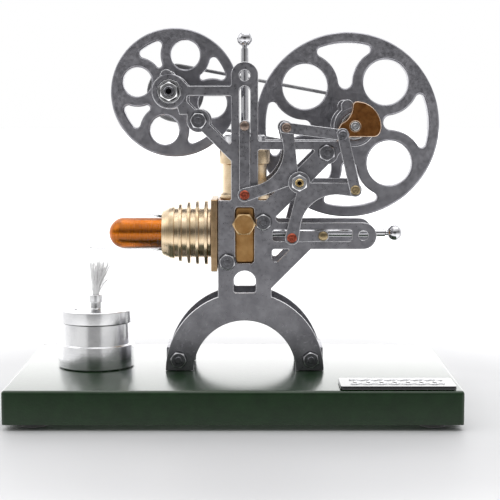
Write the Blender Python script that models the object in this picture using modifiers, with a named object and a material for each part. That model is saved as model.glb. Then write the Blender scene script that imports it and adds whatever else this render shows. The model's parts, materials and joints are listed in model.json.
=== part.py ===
"""Stirling engine model: a horizontal displacer cylinder and a vertical power cylinder,
held between two steel plates on a tray base, drive a crankshaft through two bell cranks.

Lengths in this file are millimetres in the object's own frame: +X to the right seen from
the front, +Y to the back, +Z up. They become metres where a mesh is made.
"""

from math import acos, atan2, ceil, cos, degrees, hypot, pi, radians, sin, sqrt

import bmesh
import bpy

MM = 0.001
GAP = 0.3  # between pieces that touch
ROUND = 24  # sides of the larger turned pieces
CLEARANCE = 0.25  # radial play of a pin or shaft in its hole

# Base tray
BASE_WIDTH = 210
BASE_DEPTH = 130
BASE_TOP = 18.4
FOOT_HEIGHT = 2.8
TRAY_WALL = 1.5
TRAY_CORNER = 1.6
FOOT_RADIUS = 6.5
FOOT_INSET = 13
DECK = BASE_TOP + GAP  # height at which things stand on the base

# The two frame plates stand either side of the plane of the cylinders, at Y = 0
PLATE = 3
PLATE_OUTER = 16
PLATE_INNER = PLATE_OUTER - PLATE

# Axes, as X and Z
POWER_X = 5.2
DISPLACER_Z = 84.5
PIVOT = (31.1, 110.4)
ARM = 26.6  # pin distance of the bell cranks' arms and of the links
CRANK = (PIVOT[0] + ARM, PIVOT[1] + ARM)
WHEEL = (-30.7, 153.5)
THROW = 7.5
CRANK_ANGLE = 213  # of the crank pin at rest, anticlockwise from +X seen from the front

# Layers of the linkage, as distances from the plane of the cylinders
GUIDE_LINKS = (16.6, 18.6)
CRANKS_A = (19.0, 21.5)
CRANKS_B = (21.9, 24.4)
LINK_A_LAYER = (21.9, 24.4)
LINK_B_LAYER = (24.8, 27.3)
WEIGHT_LAYER = (17.0, 21.4)

# Flywheels and belt
WHEEL_FRONT = 34.5
WHEEL_BACK = 43
BELT_Y = 46
BELT_RUN = 14.2  # radius at which the belt's centre runs
BELT_RADIUS = 0.9
GROOVE = 1.25
PULLEY_HALF = 2.2
SHAFT_END = 50

PIN = 1.3
PIVOT_RADIUS = 2
CRANKSHAFT_RADIUS = 3
SMALL_SHAFT_RADIUS = 2.5
BOLT_RADIUS = 2
ROD = 1.8
BALL = 3.75

# Bolts through the plates, as X and Z
BODY_BOLTS = ((-3.2, 71.8), (14.1, 91.1))
STRUT_BOLT = (-16.9, 139.6)
ARM_BOLT = (44.5, 124.3)
FOOT_BOLTS = ((-26.9, 24.2), (37.3, 24.2))


def clear_scene():
    for obj in list(bpy.data.objects):
        bpy.data.objects.remove(obj)


def collection(name):
    made = bpy.data.collections.new(name)
    bpy.context.scene.collection.children.link(made)
    return made


clear_scene()
PARTS = collection("stirling_engine_model")
CUTTERS = collection("cutters")


def finish(name, colour, roughness, metallic):
    """A Principled material."""
    made = bpy.data.materials.new(name)
    made.use_nodes = True
    shader = made.node_tree.nodes["Principled BSDF"]
    shader.inputs["Base Color"].default_value = (*colour, 1)
    shader.inputs["Roughness"].default_value = roughness
    shader.inputs["Metallic"].default_value = metallic
    made.diffuse_color = (*colour, 1)
    return made


STEEL = finish("tumbled_steel", (0.14, 0.14, 0.15), 0.5, 0.9)
BRIGHT = finish("bright_steel", (0.6, 0.6, 0.62), 0.2, 1)
CHROME = finish("chrome", (0.75, 0.75, 0.78), 0.08, 1)
BRASS = finish("brass", (0.72, 0.5, 0.22), 0.3, 1)
BRONZE = finish("dark_brass", (0.42, 0.2, 0.06), 0.4, 1)
COPPER = finish("copper", (0.85, 0.33, 0.08), 0.2, 1)
GLASS = finish("clear_glass", (0.95, 0.97, 0.98), 0.02, 0)
ALUMINIUM = finish("turned_aluminium", (0.8, 0.8, 0.8), 0.25, 1)
GREEN = finish("green_powder_coat", (0.02, 0.09, 0.045), 0.6, 0)
BLACK = finish("black_enamel", (0.012, 0.012, 0.014), 0.35, 0)
RUBBER = finish("black_rubber", (0.02, 0.02, 0.02), 0.8, 0)
CORD = finish("grey_silicone", (0.5, 0.5, 0.5), 0.4, 0)
FIBRE = finish("white_fibre", (0.85, 0.85, 0.85), 0.9, 0)


# Outlines: lists of (x, z) points

def arc(centre, radius, start, end, step=15):
    """Points along an arc, from start to end in degrees."""
    count = max(2, ceil(abs(end - start) / step) + 1)
    angles = [radians(start + (end - start) * i / (count - 1)) for i in range(count)]
    return [(centre[0] + radius * cos(a), centre[1] + radius * sin(a)) for a in angles]


def circle(centre, radius, sides=12):
    return arc(centre, radius, 0, 360, 360 / sides)[:-1]


def corner(before, point, after, radius):
    """Points that round the corner of an outline at a point."""
    to_before = (before[0] - point[0], before[1] - point[1])
    to_after = (after[0] - point[0], after[1] - point[1])
    length_before, length_after = hypot(*to_before), hypot(*to_after)
    dot = (to_before[0] * to_after[0] + to_before[1] * to_after[1]) / length_before / length_after
    half = acos(max(-1, min(1, dot))) / 2
    back = radius / abs(sin(half) / cos(half))
    first = (point[0] + to_before[0] * back / length_before, point[1] + to_before[1] * back / length_before)
    last = (point[0] + to_after[0] * back / length_after, point[1] + to_after[1] * back / length_after)
    middle = ((first[0] + last[0]) / 2, (first[1] + last[1]) / 2)
    reach = hypot(middle[0] - point[0], middle[1] - point[1])
    scale = radius / sin(half) / reach
    centre = (point[0] + (middle[0] - point[0]) * scale, point[1] + (middle[1] - point[1]) * scale)
    start = degrees(atan2(first[1] - centre[1], first[0] - centre[0]))
    end = degrees(atan2(last[1] - centre[1], last[0] - centre[0]))
    turn = (end - start + 180) % 360 - 180
    return arc(centre, radius, start, start + turn, 30 if radius > 1 else 90)


def rounded(points):
    """An outline with each corner given as (x, z, radius) rounded; other points stay."""
    made = []
    for i, point in enumerate(points):
        if len(point) == 2:
            made.append(point)
            continue
        made += corner(points[i - 1], point[:2], points[(i + 1) % len(points)], point[2])
    return made


def box_outline(left, bottom, right, top, radius):
    return rounded([(x, z, radius) for x, z in ((left, bottom), (right, bottom), (right, top), (left, top))])


def bar(start, end, radius, waist=None):
    """A link's outline: a round eye at each end, joined by a straight waist."""
    angle = degrees(atan2(end[1] - start[1], end[0] - start[0]))
    half = radius if waist is None else waist
    opening = degrees(acos(half / radius)) if half < radius else 0
    return (
        arc(end, radius, angle - 90 + opening, angle + 90 - opening, 20)
        + arc(start, radius, angle + 90 + opening, angle + 270 - opening, 20)
    )


def on_arm(angle, radius=ARM):
    """The point at this angle and distance from the pivot."""
    return (PIVOT[0] + radius * cos(radians(angle)), PIVOT[1] + radius * sin(radians(angle)))


def crossing(first, first_radius, second, second_radius, side):
    """Where two circles cross; side is 1 or -1, left or right of the line between them."""
    dx, dz = second[0] - first[0], second[1] - first[1]
    span = hypot(dx, dz)
    along = (first_radius**2 - second_radius**2 + span**2) / (2 * span)
    off = side * sqrt(first_radius**2 - along**2)
    return (
        first[0] + (along * dx - off * dz) / span,
        first[1] + (along * dz + off * dx) / span,
    )


# Solids

def keep(name, mesh, material, group=None):
    obj = bpy.data.objects.new(name, mesh)
    (group or PARTS).objects.link(obj)
    mesh.materials.clear()
    mesh.materials.append(material)
    return obj


def plate(name, material, loops, near, far, origin=(0, 0), side=-1):
    """A flat piece: an outline and its holes, from near to far from the plane of the
    cylinders; side is -1 in front of that plane and 1 behind it."""
    curve = bpy.data.curves.new(name, "CURVE")
    curve.dimensions = "2D"
    curve.fill_mode = "BOTH"
    curve.extrude = (far - near) / 2 * MM
    for loop in loops:
        spline = curve.splines.new("POLY")
        spline.points.add(len(loop) - 1)
        for point, (x, z) in zip(spline.points, loop):
            point.co = ((x - origin[0]) * MM, (z - origin[1]) * MM, 0, 1)
        spline.use_cyclic_u = True
    drawn = bpy.data.objects.new(name + "_outline", curve)
    PARTS.objects.link(drawn)
    drawn.location = (origin[0] * MM, side * (near + far) / 2 * MM, origin[1] * MM)
    drawn.rotation_euler = (pi / 2, 0, 0)
    return to_mesh(name, drawn, material)


def to_mesh(name, drawn, material):
    """The curve object made a mesh object, with its caps welded."""
    bpy.context.view_layer.update()
    evaluated = drawn.evaluated_get(bpy.context.evaluated_depsgraph_get())
    mesh = bpy.data.meshes.new_from_object(evaluated)
    mesh.name = name
    edit = bmesh.new()
    edit.from_mesh(mesh)
    bmesh.ops.remove_doubles(edit, verts=edit.verts, dist=1e-6)
    bmesh.ops.recalc_face_normals(edit, faces=edit.faces)
    edit.to_mesh(mesh)
    edit.free()
    obj = keep(name, mesh, material)
    obj.matrix_world = drawn.matrix_world
    bpy.data.objects.remove(drawn)
    mesh.shade_smooth()
    mesh.set_sharp_from_angle(angle=radians(40))
    return obj


TURNS = {"X": (0, pi / 2, 0), "Y": (-pi / 2, 0, 0), "Z": (0, 0, 0)}


def turned(name, material, axis, centre, profile, sides=20, hollow=False, group=None):
    """A turned piece. The profile holds (radius, place along the axis), from the far end
    of the axis down the outer side; a hollow one is a closed loop. Centre is the axis's
    place as (x, y, z), with 0 along the axis itself."""
    mesh = bpy.data.meshes.new(name)
    points = [(radius * MM, 0, place * MM) for radius, place in profile]
    edges = [(i, i + 1) for i in range(len(points) - 1)]
    if hollow:
        edges.append((len(points) - 1, 0))
    mesh.from_pydata(points, edges, [])
    obj = keep(name, mesh, material, group)
    obj.location = [c * MM for c in centre]
    obj.rotation_euler = TURNS[axis]
    screw = obj.modifiers.new("turn", "SCREW")
    screw.steps = screw.render_steps = sides
    screw.use_merge_vertices = True
    screw.merge_threshold = 1e-5
    screw.use_smooth_shade = True
    return obj


def rod(name, material, axis, centre, radius, start, end, sides=12, group=None):
    profile = [(0, end), (radius, end), (radius, start), (0, start)]
    return turned(name, material, axis, centre, profile, sides, group=group)


def hexagon(name, material, centre, across, start, end, group=None, turn=pi / 6):
    """A hex prism along Y, with flats to its left and right; turned by 0, above and below."""
    prism = rod(name, material, "Y", centre, across / sqrt(3), start, end, 6, group)
    prism.rotation_euler.y = turn
    return prism


def ring(name, material, axis, centre, inner, outer, start, end, sides=20):
    profile = [(outer, end), (outer, start), (inner, start), (inner, end)]
    return turned(name, material, axis, centre, profile, sides, hollow=True)


def block(name, material, low, high, bevel=0.5):
    """A box with its edges eased, from one corner to the other."""
    mesh = bpy.data.meshes.new(name)
    edit = bmesh.new()
    bmesh.ops.create_cube(edit, size=1)
    for vert in edit.verts:
        for i in range(3):
            vert.co[i] *= (high[i] - low[i]) * MM
    edit.to_mesh(mesh)
    edit.free()
    obj = keep(name, mesh, material)
    obj.location = [(a + b) / 2 * MM for a, b in zip(low, high)]
    if bevel:
        eased = obj.modifiers.new("eased_edges", "BEVEL")
        eased.width = bevel * MM
        eased.segments = 1
    return obj


def combine(obj, helper, operation):
    """Cuts a helper shape from a piece or joins it on."""
    helper.hide_render = True
    helper.display_type = "WIRE"
    boolean = obj.modifiers.new(helper.name, "BOOLEAN")
    boolean.operation = operation
    boolean.object = helper


def drill(obj, axis, centre, radius, start, end):
    """Cuts a round hole through a piece."""
    cutter = rod(obj.name + "_hole", STEEL, axis, centre, radius, start, end, group=CUTTERS)
    combine(obj, cutter, "DIFFERENCE")


# Base

def base_tray():
    """A folded sheet tray, open below, as a shell of one wall thickness."""
    mesh = bpy.data.meshes.new("base_tray")
    edit = bmesh.new()
    bmesh.ops.create_cube(edit, size=1)
    height = BASE_TOP - FOOT_HEIGHT
    for vert in edit.verts:
        vert.co.x *= BASE_WIDTH * MM
        vert.co.y *= BASE_DEPTH * MM
        vert.co.z *= height * MM
    below = [face for face in edit.faces if face.normal.z < -0.5]
    bmesh.ops.delete(edit, geom=below, context="FACES")
    folds = [edge for edge in edit.edges if len(edge.link_faces) == 2]
    bmesh.ops.bevel(edit, geom=folds, offset=TRAY_CORNER * MM, segments=3, profile=0.5, affect="EDGES")
    edit.to_mesh(mesh)
    edit.free()
    obj = keep("base_tray", mesh, GREEN)
    obj.location = (0, 0, (FOOT_HEIGHT + height / 2) * MM)
    wall = obj.modifiers.new("wall", "SOLIDIFY")
    wall.thickness = TRAY_WALL * MM
    wall.offset = -1


def rubber_feet():
    """Rubber buffers under the corners, fixed below the tray's top."""
    top = BASE_TOP - TRAY_WALL - GAP
    x, y = BASE_WIDTH / 2 - FOOT_INSET, BASE_DEPTH / 2 - FOOT_INSET
    for i, (sx, sy) in enumerate(((-1, -1), (1, -1), (1, 1), (-1, 1))):
        rod(f"rubber_foot_{i + 1}", RUBBER, "Z", (sx * x, sy * y, 0), FOOT_RADIUS, 0, top)


def name_plate():
    """A blank plate on the front right of the tray."""
    block("name_plate", BLACK, (48.8, -63.8, DECK), (101.5, -43, DECK + 1.6), 0.3)


# Frame

ARCH_OUTER = 38.4
ARCH_INNER = 24.8
BODY_HALF = 12.9
TOWER_HALF = 6.45
TOWER_EYE = (POWER_X, 161.1)
BODY_TOP = 101.4
GUIDE_END = (62.3, 84.3)
GUIDE_HALF = 6.4
HUB = 8.4
CRANK_BOSS = 9.8
BOLT_BOSS = 5.6
BEARING = 6.3
SMALL_BEARING = 5.6
ARM_TOP, ARM_BOTTOM = 129.9, 125.8  # edges of the horizontal arm to the crank boss
HUB_ARM_TOP, HUB_ARM_BOTTOM = 156.1, 151.5  # edges of the arm to the wheel hub
LOWER_WINDOW_HALF = 5.4
LOWER_WINDOW_BOTTOM, LOWER_WINDOW_TOP = 56.6, 67.4
EAR = 3  # radius of the small ear on each bearing boss


def frame_outline():
    """The edge of a frame plate, clockwise from the outside of its left foot."""
    left, right = POWER_X - BODY_HALF, POWER_X + BODY_HALF
    tower_left, tower_right = POWER_X - TOWER_HALF, POWER_X + TOWER_HALF
    centre = (POWER_X, BASE_TOP)
    meet = degrees(acos(BODY_HALF / ARCH_OUTER))
    outer_foot = degrees(atan2(GAP, ARCH_OUTER))
    inner_foot = degrees(atan2(GAP, ARCH_INNER))
    hub_ear = (WHEEL[0] - 1.4, WHEEL[1] + 7.4)
    crank_ear = (CRANK[0] - 3.4, CRANK[1] + 9.6)
    return rounded([
        *arc(centre, ARCH_OUTER, 180 - outer_foot, 180 - meet, 7),
        (left, BODY_TOP, 0.6),
        (tower_left, BODY_TOP, 1),
        (tower_left, 120.35, 1),
        *arc(STRUT_BOLT, BOLT_BOSS, -72, -175, 17),
        (-22.2, 142.5, 0.5),
        (-25.9, 142.5, 0.5),
        *arc(WHEEL, HUB, -64, -242, 15),
        *arc(hub_ear, EAR, 180, 0, 26),
        *arc(WHEEL, HUB, 78, 33, 15),
        (-21.8, HUB_ARM_TOP, 0.5),
        (tower_left, HUB_ARM_TOP, 0.8),
        *arc(TOWER_EYE, TOWER_HALF, 180, 0, 15),
        (tower_right, ARM_TOP, 0.8),
        *arc(CRANK, CRANK_BOSS, 226, 129, 14),
        *arc(crank_ear, EAR, 200, 15, 26),
        *arc(CRANK, CRANK_BOSS, 90, -109, 14),
        *arc(ARM_BOLT, BOLT_BOSS, -10, -80, 18),
        (17.4, 90.7, 2),
        *arc(GUIDE_END, GUIDE_HALF, 90, -90, 15),
        (37.1, 77.9, 0.8),
        (right, 58.9, 0.8),
        *arc(centre, ARCH_OUTER, meet, outer_foot, 7),
        *arc(centre, ARCH_INNER, inner_foot, 180 - inner_foot, 9),
    ])


def frame_openings():
    """The windows, slots and holes of a frame plate."""
    tower_left, tower_right = POWER_X - TOWER_HALF, POWER_X + TOWER_HALF
    strut_window = rounded([
        (-22.4, HUB_ARM_BOTTOM, 1),
        (-22.4, 148.7, 0.6),
        *arc(STRUT_BOLT, BOLT_BOSS, 108, -18, 18),
        (tower_left, 127.5, 0.8),
        (tower_left, HUB_ARM_BOTTOM, 1),
    ])
    arm_window = rounded([
        (tower_right, BODY_TOP, 1),
        (15.3, BODY_TOP, 1),
        (39.7, ARM_BOTTOM, 0.8),
        (tower_right, ARM_BOTTOM, 1),
    ])
    brace_window = rounded([(18.4, 77.9, 1.2), (27.2, 77.9, 0.5), (18.4, 69.1, 1.8)])
    power_slot = box_outline(POWER_X - 2.7, 117.5, POWER_X + 2.7, 156.1, 2)
    guide_slot = box_outline(18.6, DISPLACER_Z - 2.9, 57, DISPLACER_Z + 2.9, 1.6)
    body_window = box_outline(POWER_X - 4.6, 71.1, POWER_X + 4.6, 98.2, 1.5)
    lower_window = rounded([
        *arc((POWER_X, LOWER_WINDOW_TOP - LOWER_WINDOW_HALF), LOWER_WINDOW_HALF, 180, 0),
        (POWER_X + LOWER_WINDOW_HALF, LOWER_WINDOW_BOTTOM, 1.2),
        (POWER_X - LOWER_WINDOW_HALF, LOWER_WINDOW_BOTTOM, 1.2),
    ])
    bolts = [
        circle(at, BOLT_RADIUS + CLEARANCE, 12)
        for at in (*BODY_BOLTS, STRUT_BOLT, ARM_BOLT, *FOOT_BOLTS)
    ]
    return [
        strut_window, arm_window, brace_window, power_slot, guide_slot, body_window, lower_window,
        circle(TOWER_EYE, 2.65), circle((62.4, DISPLACER_Z), 2.3),
        circle(PIVOT, PIVOT_RADIUS + CLEARANCE),
        circle(CRANK, BEARING + CLEARANCE, 20), circle(WHEEL, SMALL_BEARING + CLEARANCE, 20),
        *bolts,
    ]


def frame_plates():
    loops = [frame_outline(), *frame_openings()]
    plate("front_frame", STEEL, loops, PLATE_INNER, PLATE_OUTER, side=-1)
    plate("back_frame", STEEL, loops, PLATE_INNER, PLATE_OUTER, side=1)


HEX = 7  # across the flats of the bolts and the pivot's nut


def bolt(name, at, shoulder=BOLT_RADIUS):
    """A hex bolt through both plates; a shoulder keeps the plates apart where there is
    nothing else between them."""
    head = PLATE_OUTER + GAP
    profile = [
        (0, head + 3.4),
        (BOLT_RADIUS, head + 3.4),
        (BOLT_RADIUS, PLATE_INNER - GAP),
        (shoulder, PLATE_INNER - GAP),
        (shoulder, GAP - PLATE_INNER),
        (BOLT_RADIUS, GAP - PLATE_INNER),
        (BOLT_RADIUS, -head - 1),
        (0, -head - 1),
    ]
    if shoulder == BOLT_RADIUS:
        profile = [profile[0], profile[1], profile[6], profile[7]]
    shank = turned(name, STEEL, "Y", (at[0], 0, at[1]), profile, 12)
    top = hexagon(name + "_head", STEEL, (at[0], 0, at[1]), HEX, -head - 2.8, -head, CUTTERS)
    combine(shank, top, "UNION")


def frame_bolts():
    for i, at in enumerate((*BODY_BOLTS, *FOOT_BOLTS)):
        bolt(f"frame_bolt_{i + 1}", at)
    bolt("strut_stud", STRUT_BOLT, 3.6)
    bolt("arm_stud", ARM_BOLT, 3.6)


def foot_blocks():
    """Blocks that join the two plates' feet and take their bolts."""
    half = PLATE_INNER - GAP
    for side, (x, z) in zip(("left", "right"), FOOT_BOLTS):
        made = block(f"foot_block_{side}", STEEL, (x - 6, -half, DECK), (x + 6, half, DECK + 11), 0.6)
        drill(made, "Y", (x, 0, z), BOLT_RADIUS + CLEARANCE, -half - 1, half + 1)


# Hot cylinder, block and displacer

FLANGE_X = (-11, -8)
BLOCK_X = (-7.7, 17.6)
COOLER_X = (-35.3, -11.3)
BORE = 9.4
GLASS_X = -76.4
GLASS_RADIUS = 9.1
GLASS_WALL = 1.2
GLASS_MOUTH = -27
DISPLACER_X = (-61.6, -25.6)
DISPLACER_RADIUS = 7.6
PLUG_Z = 90.2


def cylinder_block():
    """The brass block between the plates, with the rod's bore and the plug's hole."""
    half = PLATE_INNER - GAP
    made = block("cylinder_block", BRASS, (BLOCK_X[0], -half, 69.2), (BLOCK_X[1], half, 101), 0.6)
    for x, z in BODY_BOLTS:
        drill(made, "Y", (x, 0, z), BOLT_RADIUS + CLEARANCE, -half - 1, half + 1)
    drill(made, "X", (0, 0, DISPLACER_Z), ROD + CLEARANCE, BLOCK_X[0] - 1, BLOCK_X[1] + 1)


def hex_plug():
    """The brass plug on the block's front face; its hex stands in front of the plate."""
    half = PLATE_INNER - GAP
    centre = (POWER_X - 0.3, 0, PLUG_Z)
    head = hexagon("hex_plug", BRASS, centre, 9.7, -PLATE_OUTER - 4.4, -PLATE_OUTER - GAP, turn=0)
    neck = rod("hex_plug_neck", BRASS, "Y", centre, 3.8, -PLATE_OUTER - 1, -half - GAP, 16, CUTTERS)
    combine(head, neck, "UNION")


def cooler():
    """The square flange, and the finned cooler turned about the displacer's axis."""
    half = 17.4
    flange = block(
        "cylinder_flange", BRASS,
        (FLANGE_X[0], -half, DISPLACER_Z - half), (FLANGE_X[1], half, DISPLACER_Z + half), 0.4,
    )
    drill(flange, "X", (0, 0, DISPLACER_Z), BORE, FLANGE_X[0] - 1, FLANGE_X[1] + 1)
    first, pitch, thick, root = -13.7, 4.2, 1.5, 12.2
    profile = [(root, COOLER_X[1])]
    for i, radius in enumerate((15.9, 15.8, 15.3, 14.3)):
        fin = first - pitch * i
        near, far = fin + thick / 2, fin - thick / 2
        profile += [(root, near), (radius, near), (radius, far), (root, far)]
    profile += [(root, -29.2), (13.1, -29.2), (12.4, -31.8), (10.8, COOLER_X[0]), (BORE, COOLER_X[0])]
    profile += [(BORE, COOLER_X[1])]
    turned("finned_cooler", BRASS, "X", (0, 0, DISPLACER_Z), profile, ROUND, hollow=True)


def dome(end, radius, steps):
    """A profile's half-round end at the low end of its axis, outer side to centre."""
    return [
        (radius * cos(pi / 2 * i / steps), end + radius - radius * sin(pi / 2 * i / steps))
        for i in range(steps + 1)
    ]


def glass_and_displacer():
    inner = GLASS_RADIUS - GLASS_WALL
    inside = dome(GLASS_X + GLASS_WALL, inner, 5)[::-1]
    outside = dome(GLASS_X, GLASS_RADIUS, 5)
    profile = [*inside, (inner, GLASS_MOUTH), (GLASS_RADIUS, GLASS_MOUTH), *outside]
    turned("glass_tube", GLASS, "X", (0, 0, DISPLACER_Z), profile, ROUND)
    start, end = DISPLACER_X
    profile = [(0, end), (DISPLACER_RADIUS, end), *dome(start, DISPLACER_RADIUS, 5)]
    turned("displacer", COPPER, "X", (0, 0, DISPLACER_Z), profile, ROUND)


def ball_rod(name, axis, centre, start, ball):
    """A plated rod with a ball at its far end."""
    neck = degrees(acos(ROD / BALL))
    steps = 8
    profile = [(0, ball + BALL)]
    for i in range(1, steps + 1):
        angle = radians(90 - (90 + neck) * i / steps)
        profile.append((BALL * cos(angle), ball + BALL * sin(angle)))
    profile += [(ROD, start), (0, start)]
    return turned(name, CHROME, axis, centre, profile, 16)


POWER_PIN_Z = 137.1
DISPLACER_PIN_X = 42.8
PIN_HEAD = 2.5
CROSS_PIN = 1.0
PISTON_TOP = 133.2


def rods():
    """The two rods, each drilled for the pin that the guide links hold."""
    power = ball_rod("power_rod", "Z", (POWER_X, 0, 0), PISTON_TOP + GAP, 179.2)
    drill(power, "Y", (POWER_X, 0, POWER_PIN_Z), CROSS_PIN + 0.15, -3, 3)
    displacer = ball_rod("displacer_rod", "X", (0, 0, DISPLACER_Z), DISPLACER_X[1] + GAP, 78.9)
    drill(displacer, "Y", (DISPLACER_PIN_X, 0, DISPLACER_Z), CROSS_PIN + 0.15, -3, 3)


def cross_pin(name, at):
    """A pin through a rod, both plates' slots and a guide link on each side."""
    head, tip = GUIDE_LINKS[1] + GAP, GUIDE_LINKS[1] + GAP + 1.2
    profile = [
        (0, tip), (PIN_HEAD, tip), (PIN_HEAD, head), (CROSS_PIN, head),
        (CROSS_PIN, -head), (PIN_HEAD, -head), (PIN_HEAD, -tip), (0, -tip),
    ]
    turned(name, BRASS, "Y", (at[0], 0, at[1]), profile, 12)


def power_side():
    """The power cylinder on the block, and its flanged piston."""
    bottom, foot, collar, top = 101.3, 104.6, 118.7, 125.6
    profile = [
        (12.3, top), (12.3, collar), (10.8, collar - 0.6), (10.8, foot), (12.1, foot - 1.2),
        (12.1, bottom), (9.1, bottom), (9.1, top),
    ]
    turned("power_cylinder", BRASS, "Z", (POWER_X, 0, 0), profile, ROUND, hollow=True)
    lip = 128.6
    profile = [(0, PISTON_TOP), (9.4, PISTON_TOP), (10, PISTON_TOP - 0.6), (10, lip), (8.8, lip),
               (8.8, 108), (0, 108)]
    turned("power_piston", BRIGHT, "Z", (POWER_X, 0, 0), profile, ROUND)


# Linkage

CRANK_PIN = (
    CRANK[0] + THROW * cos(radians(CRANK_ANGLE)),
    CRANK[1] + THROW * sin(radians(CRANK_ANGLE)),
)
TOP_PIN = crossing(PIVOT, ARM, CRANK_PIN, ARM, 1)
RIGHT_PIN = crossing(PIVOT, ARM, CRANK_PIN, ARM, -1)
ANGLE_A = degrees(atan2(TOP_PIN[1] - PIVOT[1], TOP_PIN[0] - PIVOT[0]))
ANGLE_B = degrees(atan2(RIGHT_PIN[1] - PIVOT[1], RIGHT_PIN[0] - PIVOT[0]))
LEFT_PIN = on_arm(ANGLE_A + 90)
LOW_PIN = on_arm(ANGLE_B - 90)
EYE = 3.3
WAIST = 2.6


def bell_crank_loops(angle):
    """A bell crank with arms at this angle and a quarter turn on: a hub, an eye at each
    arm's end, one large hollow inside the elbow and a straight edge outside each arm."""
    hub = 5.2
    hollow = 17
    away = EYE + hollow
    local = [
        *arc((ARM, 0), EYE, -90, 90, 20),
        *arc((away, away), hollow, 270, 180, 13),
        *arc((0, ARM), EYE, 0, 180, 20),
        *arc((0, 0), hub, 97, 353, 18),
    ]
    turn = radians(angle)
    outline = [
        (PIVOT[0] + x * cos(turn) - z * sin(turn), PIVOT[1] + x * sin(turn) + z * cos(turn))
        for x, z in local
    ]
    holes = [circle(on_arm(angle + a), PIN + CLEARANCE, 12) for a in (0, 90)]
    return [outline, circle(PIVOT, PIVOT_RADIUS + CLEARANCE), *holes]


def bell_cranks():
    """Bell crank A swings the power rod, B the displacer rod; each is a pair of plates,
    one in front of the frame and one behind it, tied by a long pin."""
    for name, angle, layer in (("a", ANGLE_A, CRANKS_A), ("b", ANGLE_B - 90, CRANKS_B)):
        loops = bell_crank_loops(angle)
        plate(f"bell_crank_{name}_front", STEEL, loops, *layer, origin=PIVOT, side=-1)
        plate(f"bell_crank_{name}_rear", STEEL, loops, *layer, origin=PIVOT, side=1)
    for name, at, reach in (("a", TOP_PIN, CRANKS_A[1]), ("b", RIGHT_PIN, CRANKS_B[1])):
        rod(f"tie_pin_{name}", BRIGHT, "Y", (at[0], 0, at[1]), PIN, -reach, reach, 12)


def guide_link(name, low_end, pin_end, layer, far):
    """A link from a bell crank's lower pin to a rod's cross pin, on both sides. Its own
    stud turns in the bell crank; its other eye has play round the cross pin."""
    play = CROSS_PIN + 1.1
    for where, side in (("front", -1), ("rear", 1)):
        loops = [bar(low_end, pin_end, 2.75, WAIST), circle(pin_end, play, 14)]
        made = plate(f"{name}_{where}", STEEL, loops, *layer, origin=low_end, side=side)
        ends = sorted((side * (layer[1] - 0.6), side * far))
        stud = rod(made.name + "_stud", STEEL, "Y", (low_end[0], 0, low_end[1]), PIN, *ends, 12, CUTTERS)
        combine(made, stud, "UNION")


def links():
    guide_link("vertical_link", LEFT_PIN, (POWER_X, POWER_PIN_Z), GUIDE_LINKS, CRANKS_A[1])
    guide_link("horizontal_link", LOW_PIN, (DISPLACER_PIN_X, DISPLACER_Z), GUIDE_LINKS, CRANKS_B[1])
    eye = circle(CRANK_PIN, PIN + CLEARANCE, 14)
    for name, end, layer in (("link_a", TOP_PIN, LINK_A_LAYER), ("link_b", RIGHT_PIN, LINK_B_LAYER)):
        loops = [bar(CRANK_PIN, end, 3.2, WAIST), eye]
        plate(name, STEEL, loops, *layer, origin=CRANK_PIN, side=-1)


def pivot():
    """The fixed shaft that both bell cranks swing on, and its front nut."""
    reach = 27.6
    rod("pivot_shaft", BRASS, "Y", (PIVOT[0], 0, PIVOT[1]), PIVOT_RADIUS, -reach, reach)
    nut = hexagon("pivot_nut", BRIGHT, (PIVOT[0], 0, PIVOT[1]), HEX, -reach + 0.4, -CRANKS_B[1] - GAP)
    drill(nut, "Y", (PIVOT[0], 0, PIVOT[1]), PIVOT_RADIUS + 0.2, -reach - 1, -CRANKS_B[1])


# Crank, wheels and belt

WEIGHT_REACH = 12
WEIGHT_HOLLOW = 9.1
WEIGHT_FOOT = 5


def counterweight():
    """The brass crank web: a sector opposite the crank pin, and an eye for the pin."""
    x, z = CRANK
    outline = rounded([
        *arc((x + 0.3, z - 0.3), WEIGHT_REACH, 84, -4, 12),
        (x + 11.2, z - WEIGHT_FOOT, 3.4),
        (x - 2.4, z - WEIGHT_FOOT, 2),
        *arc(CRANK_PIN, 3.4, 270, 120, 25),
        *arc((x - 10.3, z + 9.5), WEIGHT_HOLLOW, -66, -3, 16),
        (x - 1.1, z + 11.7, 2),
    ])
    holes = [circle(CRANK, 2.2 + CLEARANCE, 14), circle(CRANK_PIN, PIN + CLEARANCE, 12)]
    plate("counterweight", BRONZE, [outline, *holes], *WEIGHT_LAYER, origin=CRANK, side=-1)


def crank():
    """The crankshaft, from the counterweight to the pulley, and the crank pin."""
    centre = (CRANK[0], 0, CRANK[1])
    shoulder, nose = -WEIGHT_LAYER[0] + GAP, -WEIGHT_LAYER[1]
    profile = [(0, SHAFT_END), (CRANKSHAFT_RADIUS, SHAFT_END), (CRANKSHAFT_RADIUS, shoulder),
               (2.2, shoulder), (2.2, nose), (0, nose)]
    turned("crankshaft", BRIGHT, "Y", centre, profile, 20)
    outer = LINK_B_LAYER[1] + GAP
    profile = [(0, -WEIGHT_LAYER[0]), (PIN, -WEIGHT_LAYER[0]), (PIN, -outer), (2.4, -outer),
               (2.4, -outer - 1), (0, -outer - 1)]
    turned("crank_pin", BRIGHT, "Y", (CRANK_PIN[0], 0, CRANK_PIN[1]), profile, 12)
    counterweight()


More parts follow.
